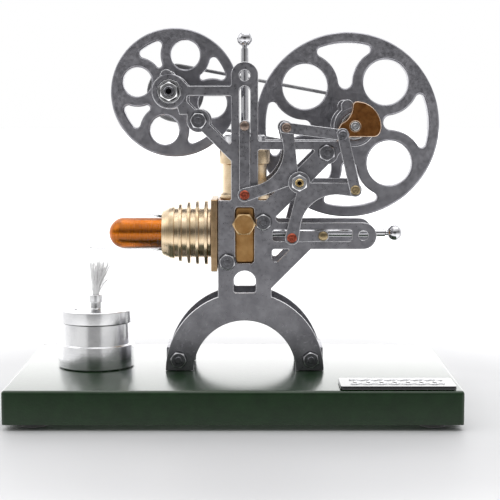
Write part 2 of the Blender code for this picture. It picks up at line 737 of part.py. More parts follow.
def fan_hole(ring_radius, side, outer, tip, fillet):
    """A flywheel's fan opening, centred on +X: its sides run round the two round holes
    beside it, at 45 degrees each way, and its ends are rounded."""
    hole = (ring_radius * cos(pi / 4), ring_radius * sin(pi / 4))
    nose = (hole[0] ** 2 + hole[1] ** 2 - 2 * hole[0] * tip + tip**2 - side**2) / 2
    nose /= side + hole[0] - tip
    tip_centre = (tip + nose, 0)
    end_centre = crossing((0, 0), outer - fillet, hole, side + fillet, -1)
    to_tip = degrees(atan2(tip_centre[1] - hole[1], tip_centre[0] - hole[0])) % 360
    to_end = degrees(atan2(end_centre[1] - hole[1], end_centre[0] - hole[0])) % 360
    out = degrees(atan2(end_centre[1], end_centre[0]))
    half = (
        arc(tip_centre, nose, 180, to_tip - 180, 20)
        + arc(hole, side, to_tip, to_end, 10)[1:]
        + arc(end_centre, fillet, to_end - 180, out, 30)[1:]
    )
    return half + [(x, -z) for x, z in half[:0:-1]]


def turn_points(points, angle, centre):
    c, s = cos(radians(angle)), sin(radians(angle))
    return [(centre[0] + x * c - z * s, centre[1] + x * s + z * c) for x, z in points]


def flywheel(name, centre, bore, first, sizes):
    """A cast wheel with four round holes, the first at this angle, and four fan holes."""
    rim, ring_radius, hole, fan = sizes
    loops = [circle(centre, rim, 56), circle(centre, bore, 20)]
    for i in range(4):
        angle = first + 90 * i
        loops.append(turn_points(circle((ring_radius, 0), hole, 20), angle, centre))
        loops.append(turn_points(fan_hole(ring_radius, *fan), angle + 45, centre))
    plate(name, STEEL, loops, WHEEL_FRONT, WHEEL_BACK, origin=centre, side=1)


def pulley(name, centre, bore):
    """A pulley with a round groove for the belt."""
    rim = BELT_RUN + 0.3
    groove = [
        (BELT_RUN - GROOVE * cos(a), BELT_Y - GROOVE * sin(a))
        for a in [radians(70 * (i - 1)) for i in range(3)]
    ]
    profile = [
        (rim, BELT_Y + PULLEY_HALF), *groove, (rim, BELT_Y - PULLEY_HALF),
        (bore, BELT_Y - PULLEY_HALF), (bore, BELT_Y + PULLEY_HALF),
    ]
    turned(name, ALUMINIUM, "Y", (centre[0], 0, centre[1]), profile, ROUND, hollow=True)


def wheels():
    """Both flywheels and pulleys, the small shaft with its nut, and the four bearings."""
    bore = CRANKSHAFT_RADIUS + CLEARANCE
    small_bore = SMALL_SHAFT_RADIUS + CLEARANCE
    flywheel("large_flywheel", CRANK, bore, 48, (47.2, 29.3, 11.55, (17.1, 41.8, 18.6, 2.4)))
    flywheel("small_flywheel", WHEEL, small_bore, 74.3, (32.8, 19.95, 7.45, (12.7, 27.6, 14.9, 2.2)))
    pulley("large_pulley", CRANK, bore)
    pulley("small_pulley", WHEEL, small_bore)
    centre = (WHEEL[0], 0, WHEEL[1])
    rod("small_shaft", BRIGHT, "Y", centre, SMALL_SHAFT_RADIUS, -22.6, SHAFT_END)
    nut = hexagon("small_shaft_nut", BRIGHT, centre, 8, -21.4, -17.6)
    drill(nut, "Y", centre, small_bore, -23, -16)
    for name, place, inner, outer in (
        ("crank_bearing", CRANK, bore, BEARING),
        ("wheel_bearing", WHEEL, small_bore, SMALL_BEARING),
    ):
        for where, side in (("front", -1), ("rear", 1)):
            ends = sorted((side * (PLATE_OUTER + 0.5), side * (PLATE_INNER - 0.5)))
            ring(f"{name}_{where}", BRIGHT, "Y", (place[0], 0, place[1]), inner, outer, *ends)


def drive_belt():
    """A round belt over both pulleys, which are the same size."""
    slope = degrees(atan2(CRANK[1] - WHEEL[1], CRANK[0] - WHEEL[0]))
    route = (
        arc(CRANK, BELT_RUN, slope - 90, slope + 90, 12)
        + arc(WHEEL, BELT_RUN, slope + 90, slope + 270, 12)
    )
    curve = bpy.data.curves.new("drive_belt", "CURVE")
    curve.dimensions = "3D"
    curve.bevel_depth = BELT_RADIUS * MM
    curve.bevel_resolution = 2
    spline = curve.splines.new("POLY")
    spline.points.add(len(route) - 1)
    for point, (x, z) in zip(spline.points, route):
        point.co = (x * MM, BELT_Y * MM, z * MM, 1)
    spline.use_cyclic_u = True
    drawn = bpy.data.objects.new("drive_belt_route", curve)
    PARTS.objects.link(drawn)
    to_mesh("drive_belt", drawn, CORD)


# Burner

BURNER_X = -68.5
CUP_RADIUS = 17.4
CUP_TOP = 40.6
CUP_STEP = 30.2  # below this the cup is as wide as the lid
LID_RADIUS = 18.7
LID_TOP = 47
WICK_TOP = 71


def burner():
    """A spirit burner: the cup, a lid with the wick tube, and the wick."""
    centre = (BURNER_X, 0, 0)
    floor, wall = DECK + 1.5, 1.4
    inner = CUP_RADIUS - wall
    cup = [
        (CUP_RADIUS - 0.3, CUP_TOP), (CUP_RADIUS, CUP_TOP - 0.4), (CUP_RADIUS, CUP_STEP),
        (LID_RADIUS, CUP_STEP - 0.4), (LID_RADIUS, DECK), (0, DECK),
    ]
    turned("burner_cup", ALUMINIUM, "Z", centre, [(0, floor), (inner, floor), (inner, CUP_TOP), *cup], ROUND)
    under, tube, hole = LID_TOP - 1.4, 3, 1.9
    lid = [
        (tube, 50), (3.6, 50.2), (3.6, 54), (hole, 54), (hole, 34), (tube, 34), (tube, under),
        (LID_RADIUS - 1.4 + GAP, under), (LID_RADIUS - 1.4 + GAP, CUP_TOP + GAP),
        (LID_RADIUS, CUP_TOP + GAP), (LID_RADIUS, LID_TOP - 0.6), (LID_RADIUS - 0.6, LID_TOP),
        (tube, LID_TOP),
    ]
    turned("burner_lid", ALUMINIUM, "Z", centre, lid[::-1], ROUND, hollow=True)
    wick = [
        (0, WICK_TOP), (3.4, WICK_TOP - 0.8), (4.4, WICK_TOP - 3.5), (3.4, 61), (1.8, 56), (1.6, 52),
        (1.6, 23), (0, 23),
    ]
    turned("wick", FIBRE, "Z", centre, wick, 12)


base_tray()
rubber_feet()
name_plate()
frame_plates()
frame_bolts()
foot_blocks()
cylinder_block()
hex_plug()
cooler()
glass_and_displacer()
rods()
cross_pin("power_cross_pin", (POWER_X, POWER_PIN_Z))
cross_pin("displacer_cross_pin", (DISPLACER_PIN_X, DISPLACER_Z))
power_side()
bell_cranks()
links()
pivot()
crank()
wheels()
drive_belt()
burner()
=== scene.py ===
import json
import math
import bmesh
import bpy
import numpy as np
from mathutils import Matrix, Vector

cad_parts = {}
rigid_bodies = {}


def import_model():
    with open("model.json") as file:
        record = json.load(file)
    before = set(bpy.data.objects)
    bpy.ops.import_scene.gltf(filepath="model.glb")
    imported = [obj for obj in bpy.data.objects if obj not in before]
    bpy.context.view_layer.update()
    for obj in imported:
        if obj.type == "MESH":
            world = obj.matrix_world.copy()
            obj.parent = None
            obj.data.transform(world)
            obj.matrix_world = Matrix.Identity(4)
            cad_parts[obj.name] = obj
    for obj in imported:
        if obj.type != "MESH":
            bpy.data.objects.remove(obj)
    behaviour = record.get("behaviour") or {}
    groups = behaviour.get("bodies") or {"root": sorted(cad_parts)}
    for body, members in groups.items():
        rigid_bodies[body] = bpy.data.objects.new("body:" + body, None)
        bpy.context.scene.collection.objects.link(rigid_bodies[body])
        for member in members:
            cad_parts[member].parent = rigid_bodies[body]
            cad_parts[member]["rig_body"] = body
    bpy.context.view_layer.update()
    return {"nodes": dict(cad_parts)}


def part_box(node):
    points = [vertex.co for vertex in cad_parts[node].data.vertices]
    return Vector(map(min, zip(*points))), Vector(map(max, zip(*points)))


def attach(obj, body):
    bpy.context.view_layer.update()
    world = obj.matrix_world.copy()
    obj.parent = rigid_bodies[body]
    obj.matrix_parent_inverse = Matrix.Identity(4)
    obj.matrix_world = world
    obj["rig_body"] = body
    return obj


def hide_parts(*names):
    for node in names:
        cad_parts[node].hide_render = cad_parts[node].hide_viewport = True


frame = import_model()
nodes = frame["nodes"]
mm = 0.001
print("frame loaded,", len(nodes), "CAD nodes")


# ---- axes and layers, in millimetres, read from the frame where a node shows them
def span(node):
    low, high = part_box(node)
    return np.array(low) / mm, np.array(high) / mm


def middle(node):
    low, high = span(node)
    return (low + high) / 2


def axisOf(node):
    # where a part that lies along Y stands in the (x, z) plane
    return tuple(middle(node)[[0, 2]])


powerX = float(middle("power_rod")[0])
displacerZ = float(middle("displacer_rod")[2])
pivot = axisOf("pivot_shaft")
crank = axisOf("crankshaft")
wheelHub = axisOf("small_shaft")
crankPin = axisOf("crank_pin")
topPin = axisOf("tie_pin_a")
rightPin = axisOf("tie_pin_b")
powerPin = axisOf("power_cross_pin")
slidePin = axisOf("displacer_cross_pin")
armLength = math.dist(pivot, topPin)
deck = float(span("base_tray")[1][2])
plateInner, plateOuter = 13.0, 16.0
bothSides = (("front", -1), ("rear", 1))


# ---- outlines: arrays of (x, z) points
def arc(centre, radius, start, end, step=4.0):
    # points at equal angles on a circle
    count = max(2, math.ceil(abs(end - start) / step) + 1)
    a = np.radians(np.linspace(start, end, count))
    return np.column_stack((centre[0] + radius * np.cos(a), centre[1] + radius * np.sin(a)))


def circle(centre, radius, sides=60):
    return arc(centre, radius, 0, 360, 360 / sides)[:-1]


def filletArc(before, point, after, radius, step=9.0):
    # the arc of this radius that touches both sides of a corner
    before, point, after = (np.array(p, float) for p in (before, point, after))
    u = (before - point) / np.linalg.norm(before - point)
    v = (after - point) / np.linalg.norm(after - point)
    half = math.acos(np.clip(u @ v, -1, 1)) / 2
    centre = point + (u + v) / np.linalg.norm(u + v) * radius / math.sin(half)
    first, last = point + u * radius / math.tan(half), point + v * radius / math.tan(half)
    start = math.degrees(math.atan2(*(first - centre)[::-1]))
    end = math.degrees(math.atan2(*(last - centre)[::-1]))
    return arc(centre, radius, start, start + (end - start + 180) % 360 - 180, step)


def outline(*parts, open=False):
    # arrays stay as they are; (x, z, radius) is a rounded corner, (x, z) a plain point
    ends = [p if isinstance(p, np.ndarray) else np.array([p[:2]], float) for p in parts]
    made = []
    for i, part in enumerate(parts):
        atEnd = open and i in (0, len(parts) - 1)
        if isinstance(part, np.ndarray) or len(part) == 2 or not part[2] or atEnd:
            made.append(ends[i])
        else:
            made.append(filletArc(ends[i - 1][-1], part[:2], ends[(i + 1) % len(parts)][0], part[2]))
    return np.vstack(made)


def panel(left, bottom, right, top, radius):
    corners = ((left, bottom), (right, bottom), (right, top), (left, top))
    return outline(*((x, z, radius) for x, z in corners))


def slotShape(left, bottom, right, top):
    # a slot with full round ends along its longer side
    return panel(left, bottom, right, top, min(right - left, top - bottom) / 2 - 0.01)


def turnPoints(points, angle, centre):
    c, s = math.cos(math.radians(angle)), math.sin(math.radians(angle))
    return points @ np.array([[c, s], [-s, c]]) + np.array(centre)


def crossing(first, firstRadius, second, secondRadius, side):
    # where two circles cross, on one side of the line between their centres
    first, second = np.array(first, float), np.array(second, float)
    gap = second - first
    reach = np.linalg.norm(gap)
    along = (firstRadius**2 - secondRadius**2 + reach**2) / (2 * reach)
    off = side * math.sqrt(firstRadius**2 - along**2)
    return first + (along * gap + off * np.array([-gap[1], gap[0]])) / reach


# ---- solids
def link(obj):
    bpy.context.scene.collection.objects.link(obj)
    return obj


def tidy(mesh, sharp):
    edit = bmesh.new()
    edit.from_mesh(mesh)
    bmesh.ops.remove_doubles(edit, verts=edit.verts, dist=2e-7)
    bmesh.ops.dissolve_degenerate(edit, edges=edit.edges, dist=1e-7)
    bmesh.ops.recalc_face_normals(edit, faces=edit.faces)
    edit.to_mesh(mesh)
    edit.free()
    mesh.shade_smooth()
    mesh.set_sharp_from_angle(angle=math.radians(sharp))


def surface(name, grid, wrapRows=False, sharp=28):
    # quads between neighbouring points of a grid of (x, y, z); its columns close into rings
    rows, columns = grid.shape[:2]
    index = np.arange(rows * columns).reshape(rows, columns)
    here = index if wrapRows else index[:-1]
    below = np.roll(index, -1, 0) if wrapRows else index[1:]
    quads = np.stack((here, np.roll(here, -1, 1), np.roll(below, -1, 1), below), -1)
    mesh = bpy.data.meshes.new(name)
    mesh.from_pydata((grid.reshape(-1, 3) * mm).tolist(), [], quads.reshape(-1, 4).tolist())
    tidy(mesh, sharp)
    return link(bpy.data.objects.new(name, mesh))


def turned(name, axis, centre, profile, sides=96, hollow=False, sharp=28):
    # each (radius, place) of the profile goes round the axis: radius cos a, radius sin a, place
    profile = np.asarray(profile, float)
    a = np.linspace(0, 2 * math.pi, sides, endpoint=False)
    across, up = profile[:, :1] * np.cos(a), profile[:, :1] * np.sin(a)
    along = np.broadcast_to(profile[:, 1:], across.shape)
    order = {"X": (along, across, up), "Y": (across, along, up), "Z": (across, up, along)}[axis]
    return surface(name, np.stack(order, -1) + np.array(centre, float), hollow, sharp)


def turnedY(name, at, profile, sides, hollow=False):
    return turned(name, "Y", (at[0], 0, at[1]), profile, sides, hollow)


def evaluated(obj):
    # the mesh that an object's settings and modifiers make; the object itself goes
    bpy.context.view_layer.update()
    mesh = bpy.data.meshes.new_from_object(obj.evaluated_get(bpy.context.evaluated_depsgraph_get()))
    bpy.data.objects.remove(obj)
    return mesh


def plate(name, loops, near, far, side=-1, edge=0.35, steps=3, sharp=16):
    # a filled outline with its rim rolled over by the edge radius
    curve = bpy.data.curves.new(name, "CURVE")
    curve.dimensions = "2D"
    curve.fill_mode = "BOTH"
    curve.extrude = ((far - near) / 2 - edge) * mm
    curve.bevel_depth = edge * mm
    curve.bevel_resolution = steps - 1
    curve.offset = -edge * mm
    for loop in loops:
        spline = curve.splines.new("POLY")
        spline.points.add(len(loop) - 1)
        corners = np.column_stack((loop * mm, np.zeros(len(loop)), np.ones(len(loop))))
        spline.points.foreach_set("co", corners.ravel())
        spline.use_cyclic_u = True
    mesh = evaluated(link(bpy.data.objects.new(name + "Drawn", curve)))
    depth = Matrix.Translation((0, side * (near + far) / 2 * mm, 0))
    mesh.transform(depth @ Matrix.Rotation(math.pi / 2, 4, "X"))
    mesh.name = name
    tidy(mesh, sharp)
    creaseFlats(mesh)
    return link(bpy.data.objects.new(name, mesh))


def creaseFlats(mesh):
    # a crisp edge where a flat face meets its rolled rim, so that the flat face shades flat
    edit = bmesh.new()
    edit.from_mesh(mesh)
    for edge in edit.edges:
        flats = [abs(face.normal.y) > 0.999 for face in edge.link_faces]
        if flats.count(True) == 1:
            edge.smooth = False
    edit.to_mesh(mesh)
    edit.free()


def hexagon(name, centre, across, near, far, side=-1, bore=0.0, turn=0.0):
    # distance to the hex's edge is (across/2) / cos(angle from the nearest flat); a cone cuts the corners
    a = np.linspace(0, 2 * math.pi, 96, endpoint=False)
    rim = across / 2 / np.cos((a - math.radians(turn) + math.pi / 6) % (math.pi / 3) - math.pi / 6)
    flat, depth = 0 * a, far - near
    cone = across / 2 * 0.94
    lower = (rim - cone) * math.tan(math.radians(30))
    rings = [(bore + flat, flat), (cone + flat, flat), (rim, lower), (rim, depth - lower * 0.35),
             (rim * 0.985, depth + flat), (bore + flat, depth + flat)]
    radius, drop = (np.stack(values) for values in zip(*rings))
    x, z = centre[0] + radius * np.cos(a), centre[1] + radius * np.sin(a)
    grid = np.stack((x, side * (far - drop), z), -1)
    return surface(name, grid, bore > 0, 20)


def facing(mesh):
    # how far each face looks along Y, from 0 to 1
    normals = np.empty(len(mesh.polygons) * 3)
    mesh.polygons.foreach_get("normal", normals)
    return np.abs(normals.reshape(-1, 3)[:, 1])


def paint(piece, *materials):
    piece.data.materials.clear()
    for material in materials:
        piece.data.materials.append(material)
    return piece


def edged(piece, material, edgeMaterial):
    # a piece whose rolled or chamfered rim gets a paler finish than its faces: partly rubbed wear, partly a
    # painted highlight
    paint(piece, material, edgeMaterial)
    look = facing(piece.data)
    # the faces that turn away from the flat sides take the painted highlight finish
    rim = (look > 0.2) & (look < 0.98)
    piece.data.polygons.foreach_set("material_index", rim.astype(int))
    return piece


def join(name, *pieces):
    # several bodies of one real piece, kept in one object
    mesh = bpy.data.meshes.new(name)
    edit = bmesh.new()
    finishes = []
    for piece in pieces:
        start = len(edit.faces)
        edit.from_mesh(piece.data)
        edit.faces.ensure_lookup_table()
        for material in piece.data.materials:
            if material not in finishes:
                finishes.append(material)
        for face in edit.faces[start:]:
            if piece.data.materials:
                face.material_index = finishes.index(piece.data.materials[face.material_index])
    edit.to_mesh(mesh)
    edit.free()
    for material in finishes:
        mesh.materials.append(material)
    for piece in pieces:
        bpy.data.objects.remove(piece)
    return link(bpy.data.objects.new(name, mesh))


def trim(piece, material, node):
    # small trim that rides with a CAD node's body
    if material:
        paint(piece, material)
    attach(piece, nodes[node]["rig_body"])


def stand(piece, material, node):
    # the piece takes the place of a CAD node
    trim(piece, material, node)
    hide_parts(node)


# ---- finishes
def finish(name, colour, roughness, metallic, **sockets):
    made = bpy.data.materials.new(name)
    made.use_nodes = True
    shader = made.node_tree.nodes["Principled BSDF"]
    shader.inputs["Base Color"].default_value = (*colour, 1)
    shader.inputs["Roughness"].default_value = roughness
    shader.inputs["Metallic"].default_value = metallic
    for socket, value in sockets.items():
        shader.inputs[socket.replace("_", " ")].default_value = value
    made.diffuse_color = (*colour, 1)
    return made


def addNode(tree, kind, inputs, **settings):
    # a node whose inputs are each given a value or joined to another node's output
    added = tree.nodes.new("ShaderNode" + kind)
    for name, value in settings.items():
        setattr(added, name, value)
    for socket, value in inputs.items():
        if isinstance(value, bpy.types.NodeSocket):
            tree.links.new(value, added.inputs[socket])
        else:
            added.inputs[socket].default_value = value
    return added


def feed(made, source, socket):
    shader = made.node_tree.nodes["Principled BSDF"]
    made.node_tree.links.new(source, shader.inputs[socket])


def place(made, centre=(0, 0, 0), stretch=(1, 1, 1)):
    # object coordinates, moved to a centre and stretched
    tree = made.node_tree
    objectSpace = addNode(tree, "TexCoord", {}).outputs["Object"]
    shift = [-c * mm * s for c, s in zip(centre, stretch)]
    inputs = {"Vector": objectSpace, "Scale": stretch, "Location": shift}
    return addNode(tree, "Mapping", inputs, vector_type="POINT").outputs["Vector"]


def cloud(made, vector, size, detail=4.0, rough=0.55):
    # noise whose features are about this many millimetres across
    inputs = {"Vector": vector, "Scale": 1 / (size * mm), "Detail": detail, "Roughness": rough}
    return addNode(made.node_tree, "TexNoise", inputs).outputs["Fac"]


def blendColour(made, factor, low, high, start=0.3, end=0.7):
    ramp = addNode(made.node_tree, "ValToRGB", {"Fac": factor})
    for stop, at, colour in zip(ramp.color_ramp.elements, (start, end), (low, high)):
        stop.position = at
        stop.color = (*colour, 1)
    feed(made, ramp.outputs["Color"], "Base Color")


def blendRoughness(made, factor, low, high):
    inputs = {"Value": factor, "From Min": 0.3, "From Max": 0.7, "To Min": low, "To Max": high}
    feed(made, addNode(made.node_tree, "MapRange", inputs).outputs["Result"], "Roughness")


def relief(made, *layers):
    # bumps stacked one on another: (height source, strength, depth in mm)
    normal = None
    for height, strength, depth in layers:
        inputs = {"Height": height, "Strength": strength, "Distance": depth * mm}
        if normal:
            inputs["Normal"] = normal
        normal = addNode(made.node_tree, "Bump", inputs).outputs["Normal"]
    feed(made, normal, "Normal")


def turningMarks(made, axis, centre, size):
    # noise of (distance from the axis, place along it), so its marks run round a turned piece
    tree = made.node_tree
    along = np.eye(3)["XYZ".index(axis)]
    local = place(made, centre)
    flat = addNode(tree, "VectorMath", {0: local, 1: 1 - along}, operation="MULTIPLY")
    radius = addNode(tree, "VectorMath", {0: flat.outputs["Vector"]}, operation="LENGTH")
    height = addNode(tree, "VectorMath", {0: local, 1: along}, operation="DOT_PRODUCT")
    both = addNode(tree, "CombineXYZ", {"X": radius.outputs["Value"], "Y": height.outputs["Value"]})
    return cloud(made, both.outputs["Vector"], size, 3.0, 0.6)


steel = {
    "dark": (0.26, 0.257, 0.28), "pale": (0.375, 0.371, 0.4), "blotch": 7.0, "grain": 0.25, "depth": 0.045,
}
brassTone = {"dark": (0.54, 0.41, 0.25), "pale": (0.76, 0.61, 0.43)}


def tumbledSteel(name, shade=1.0, roughness=0.42):
    # barrel-tumbled plate: soft blotches, a fine pitted grain and faint scratches
    made = finish(name, steel["pale"], roughness, 1.0)
    space = place(made)
    blotches = cloud(made, space, steel["blotch"], 5.0, 0.62)
    low, high = (tuple(c * shade for c in steel[key]) for key in ("dark", "pale"))
    blendColour(made, blotches, low, high, 0.36, 0.66)
    blendRoughness(made, cloud(made, space, 1.6, 3.0), roughness - 0.08, roughness + 0.12)
    scratches = cloud(made, place(made, stretch=(1.0, 1.0, 9.0)), 3.0, 4.0, 0.6)
    grain = cloud(made, space, steel["grain"], 3.0, 0.6)
    relief(made, (grain, 0.12, steel["depth"]), (scratches, 0.05, 0.05))
    return made


def turnedMetal(name, axis, centre, dark, pale, roughness, marks=0.12, strength=0.25, depth=0.02):
    # lathe-turned metal: fine rings round the axis, and tone that drifts a little
    made = finish(name, pale, roughness, 1.0)
    rings = turningMarks(made, axis, centre, marks)
    blendColour(made, cloud(made, place(made), 9.0, 4.0), dark, pale, 0.3, 0.6)
    blendRoughness(made, rings, roughness - 0.06, roughness + 0.08)
    relief(made, (rings, strength, depth))
    return made


def plainMetal(name, dark, pale, roughness, blotch=3.0, grain=0.2, strength=0.15):
    made = finish(name, pale, roughness, 1.0)
    space = place(made)
    blendColour(made, cloud(made, space, blotch, 4.0), dark, pale)
    blendRoughness(made, cloud(made, space, blotch / 3, 3.0), roughness - 0.05, roughness + 0.08)
    relief(made, (cloud(made, space, grain, 2.0), strength, 0.03))
    return made


frameSteel = tumbledSteel("frameSteel", 1.0, 0.32)
linkSteel = tumbledSteel("linkSteel", 0.95, 0.32)
wheelSteel = tumbledSteel("wheelSteel", 0.98, 0.38)
# paler steel for rims: rubbed wear plus a painted highlight along every rolled edge and chamfer
rubbedEdgeAndHighlight = plainMetal("rubbedEdgeAndHighlight", (0.45, 0.45, 0.47), (0.72, 0.72, 0.74), 0.3, 2.0)
boltSteel = plainMetal("boltSteel", (0.13, 0.13, 0.14), (0.25, 0.25, 0.27), 0.32, 1.5)
brightSteel = plainMetal("brightSteel", (0.55, 0.55, 0.56), (0.78, 0.78, 0.8), 0.2, 2.5)
# near-black: the bearings' dark shields, and painted shade at the bottom of end holes and in the burner vent
darkShieldAndHoleShade = plainMetal("darkShieldAndHoleShade", (0.006, 0.006, 0.007), (0.016, 0.016, 0.018), 0.45, 1.5)
chromePlate = plainMetal("chromePlate", (0.5, 0.5, 0.52), (0.62, 0.62, 0.64), 0.07, 6.0, 1.2, 0.04)
blockBrass = plainMetal("blockBrass", (0.42, 0.21, 0.07), (0.6, 0.35, 0.14), 0.34, 4.0)
weightBrass = plainMetal("weightBrass", (0.16, 0.06, 0.018), (0.3, 0.13, 0.04), 0.38, 3.0, 0.25, 0.3)
# paler brass for the counterweight's rim: a painted highlight, partly worn edge
weightEdge = plainMetal("weightEdge", (0.6, 0.42, 0.3), (0.85, 0.66, 0.5), 0.3, 1.5)
# paler brass for the hex plug's chamfer: a painted highlight, partly worn edge
plugEdge = plainMetal("plugEdge", (0.5, 0.33, 0.16), (0.75, 0.55, 0.32), 0.3, 1.5)
copperRivet = plainMetal("copperRivet", (0.26, 0.05, 0.03), (0.46, 0.12, 0.07), 0.3, 0.8)
brownRivet = plainMetal("brownRivet", (0.18, 0.13, 0.11), (0.32, 0.25, 0.21), 0.34, 0.8)
pivotBrass = plainMetal("pivotBrass", (0.5, 0.36, 0.16), (0.75, 0.56, 0.28), 0.24, 0.8)
brassRivet = plainMetal("brassRivet", (0.24, 0.18, 0.1), (0.42, 0.33, 0.19), 0.32, 0.8)
flangeBrass = plainMetal("flangeBrass", (0.36, 0.24, 0.13), (0.52, 0.36, 0.21), 0.32, 3.0)
displacerAxis, powerAxis = (0, 0, displacerZ), (powerX, 0, 0)
brassTones = (brassTone["dark"], brassTone["pale"])
pistonTones = ((0.5, 0.5, 0.52), (0.76, 0.76, 0.78))
coolerBrass = turnedMetal("coolerBrass", "X", displacerAxis, *brassTones, 0.27, 0.16, 0.3)
cylinderBrass = turnedMetal("cylinderBrass", "Z", powerAxis, *brassTones, 0.3, 0.14)
pistonSteel = turnedMetal("pistonSteel", "Z", powerAxis, *pistonTones, 0.22, 0.1)
displacerCopper = turnedMetal(
    "displacerCopper", "X", displacerAxis, (0.33, 0.08, 0.003), (0.46, 0.125, 0.006), 0.28, 0.3, 0.06)
burnerX = float(middle("burner_cup")[0])
burnerAxis = (burnerX, 0, 0)
burnerAluminium = turnedMetal(
    "burnerAluminium", "Z", burnerAxis, (0.76, 0.76, 0.78), (0.86, 0.86, 0.87), 0.2, 0.16, 0.3, 0.02)


def hammeredPaint():
    # green powder coat: shallow dimples a millimetre or two across under a glossy skin
    made = finish("hammeredGreen", (0.012, 0.05, 0.016), 0.3, 0.0, IOR=1.3, Coat_Weight=1.0,
                  Coat_IOR=1.33, Coat_Roughness=0.18)
    space = place(made)
    blendColour(made, cloud(made, space, 7.0, 4.0), (0.004, 0.021, 0.004), (0.007, 0.032, 0.007))
    dimples = cloud(made, space, 1.1, 2.0, 0.5)
    fine = cloud(made, space, 0.35, 2.0, 0.5)
    relief(made, (dimples, 0.5, 0.16), (fine, 0.4, 0.06))
    return made


def glassFinish():
    # clear blown glass whose tint drifts a little along its length
    made = finish("heatproofGlass", (0.99, 0.995, 0.998), 0.0, 0.0, Transmission_Weight=1.0, IOR=1.1,
                  Coat_Weight=0.4, Coat_IOR=1.35, Coat_Roughness=0.0)
    blendColour(made, cloud(made, place(made), 14.0, 2.0), (0.975, 0.985, 0.988), (1.0, 1.0, 1.0))
    return made


def softFinish(name, dark, pale, roughness, blotch, grain, strength, **sockets):
    made = finish(name, pale, roughness, 0.0, **sockets)
    space = place(made)
    blendColour(made, cloud(made, space, blotch, 4.0), dark, pale)
    relief(made, (cloud(made, space, grain, 3.0), strength, 0.08))
    return made


trayPaint = hammeredPaint()
tubeGlass = glassFinish()
footRubber = softFinish("footRubber", (0.012, 0.012, 0.012), (0.03, 0.03, 0.03), 0.75, 3.0, 0.3, 0.4)
beltRubber = softFinish("beltRubber", (0.3, 0.3, 0.31), (0.42, 0.42, 0.43), 0.45, 4.0, 0.3, 0.2)
plateEnamel = softFinish("plateEnamel", (0.008, 0.008, 0.009), (0.016, 0.016, 0.018), 0.22, 5.0, 0.25, 0.1,
                         IOR=1.35, Coat_Weight=1.0, Coat_IOR=1.3, Coat_Roughness=0.1)
ornamentSilver = plainMetal("ornamentSilver", (0.6, 0.6, 0.62), (0.85, 0.85, 0.87), 0.28, 1.5)
wickFibre = softFinish("wickFibre", (0.9, 0.9, 0.9), (0.97, 0.97, 0.97), 0.9, 1.0, 0.15, 0.4)
print("finishes made")

# ---- base
tray = {"corner": 1.6, "steps": 6, "wall": 1.5}
namePlate = {"corner": 1.6, "edge": 0.3}


def blockShape(name, low, high, radius, steps, openBelow=False):
    # a box with every fold rounded; left open below it is a folded sheet
    mesh = bpy.data.meshes.new(name)
    edit = bmesh.new()
    bmesh.ops.create_cube(edit, size=1, matrix=Matrix.Diagonal((*((high - low) * mm), 1)))
    bmesh.ops.translate(edit, verts=edit.verts, vec=Vector((low + high) / 2 * mm))
    if openBelow:
        below = [face for face in edit.faces if face.normal.z < -0.5]
        bmesh.ops.delete(edit, geom=below, context="FACES")
    folds = [edge for edge in edit.edges if len(edge.link_faces) == 2]
    bmesh.ops.bevel(edit, geom=folds, offset=radius * mm, segments=steps, profile=0.5, affect="EDGES")
    edit.to_mesh(mesh)
    edit.free()
    return link(bpy.data.objects.new(name, mesh))


def easedBlock(name, low, high, radius=0.5):
    block = blockShape(name, low, high, radius, 3)
    tidy(block.data, 30)
    return block


def trayShell(name, node):
    # a folded tray: its sheet gets its thickness inwards
    shell = blockShape(name, *span(node), tray["corner"], tray["steps"], True)
    thick = shell.modifiers.new("wall", "SOLIDIFY")
    thick.thickness = tray["wall"] * mm
    thick.offset = -1
    made = evaluated(shell)
    tidy(made, 40)
    return link(bpy.data.objects.new(name, made))


def makeBase():
    stand(trayShell("trayBody", "base_tray"), trayPaint, "base_tray")
    for i in range(4):
        node = f"rubber_foot_{i + 1}"
        low, high = span(node)
        centre, radius = (low + high) / 2, (high[0] - low[0]) / 2
        profile = outline((0, high[2]), (radius, high[2], 0.4), (radius, 3.0, 0.3), (radius - 0.5, 0, 0.4),
                          (0, 0), open=True)
        pad = turned(f"footPad{i + 1}", "Z", (centre[0], centre[1], 0), profile, 48)
        stand(pad, footRubber, node)
    # the plate is drawn upright and laid down, which turns its width over
    low, high = span("name_plate")
    made = plate("blankPlate", [panel(low[0], -high[1], high[0], -low[1], namePlate["corner"])],
                 low[2], high[2], 1, namePlate["edge"])
    made.data.transform(Matrix.Rotation(math.pi / 2, 4, "X"))
    tidy(made.data, 20)
    stand(made, plateEnamel, "name_plate")
    ornament(low, high)


def ornament(low, high):
    # a plain wavy border line with a row of small lozenges, standing 0.4 mm proud of the enamel
    left, right, middleY, top = low[0] + 5, high[0] - 5, (low[1] + high[1]) / 2, high[2]
    t = np.linspace(0, 1, 220)
    pieces = []
    for side in (-1, 1):
        wave = middleY + side * (4.6 + 0.9 * np.sin(t * 14 * math.pi))
        path = np.column_stack((left + (right - left) * t, wave, np.full_like(t, top)))
        pieces.append(sweep(f"wave{side}", path, 0.42, 8, False))
    a = np.linspace(0, 2 * math.pi, 4, endpoint=False)
    share, height = np.array([(0, 0.3), (0.75, 0.3), (1, -0.1), (0, -0.1)]).T[:, :, None]
    for i in range(7):
        x = left + 3 + (right - left - 6) * i / 6
        rings = (x + share * 2.1 * np.cos(a), middleY + share * 3.0 * np.sin(a), top + height + 0 * a)
        pieces.append(surface(f"lozenge{i}", np.stack(rings, -1), False, 20))
    trim(join("plateOrnament", *pieces), ornamentSilver, "name_plate")


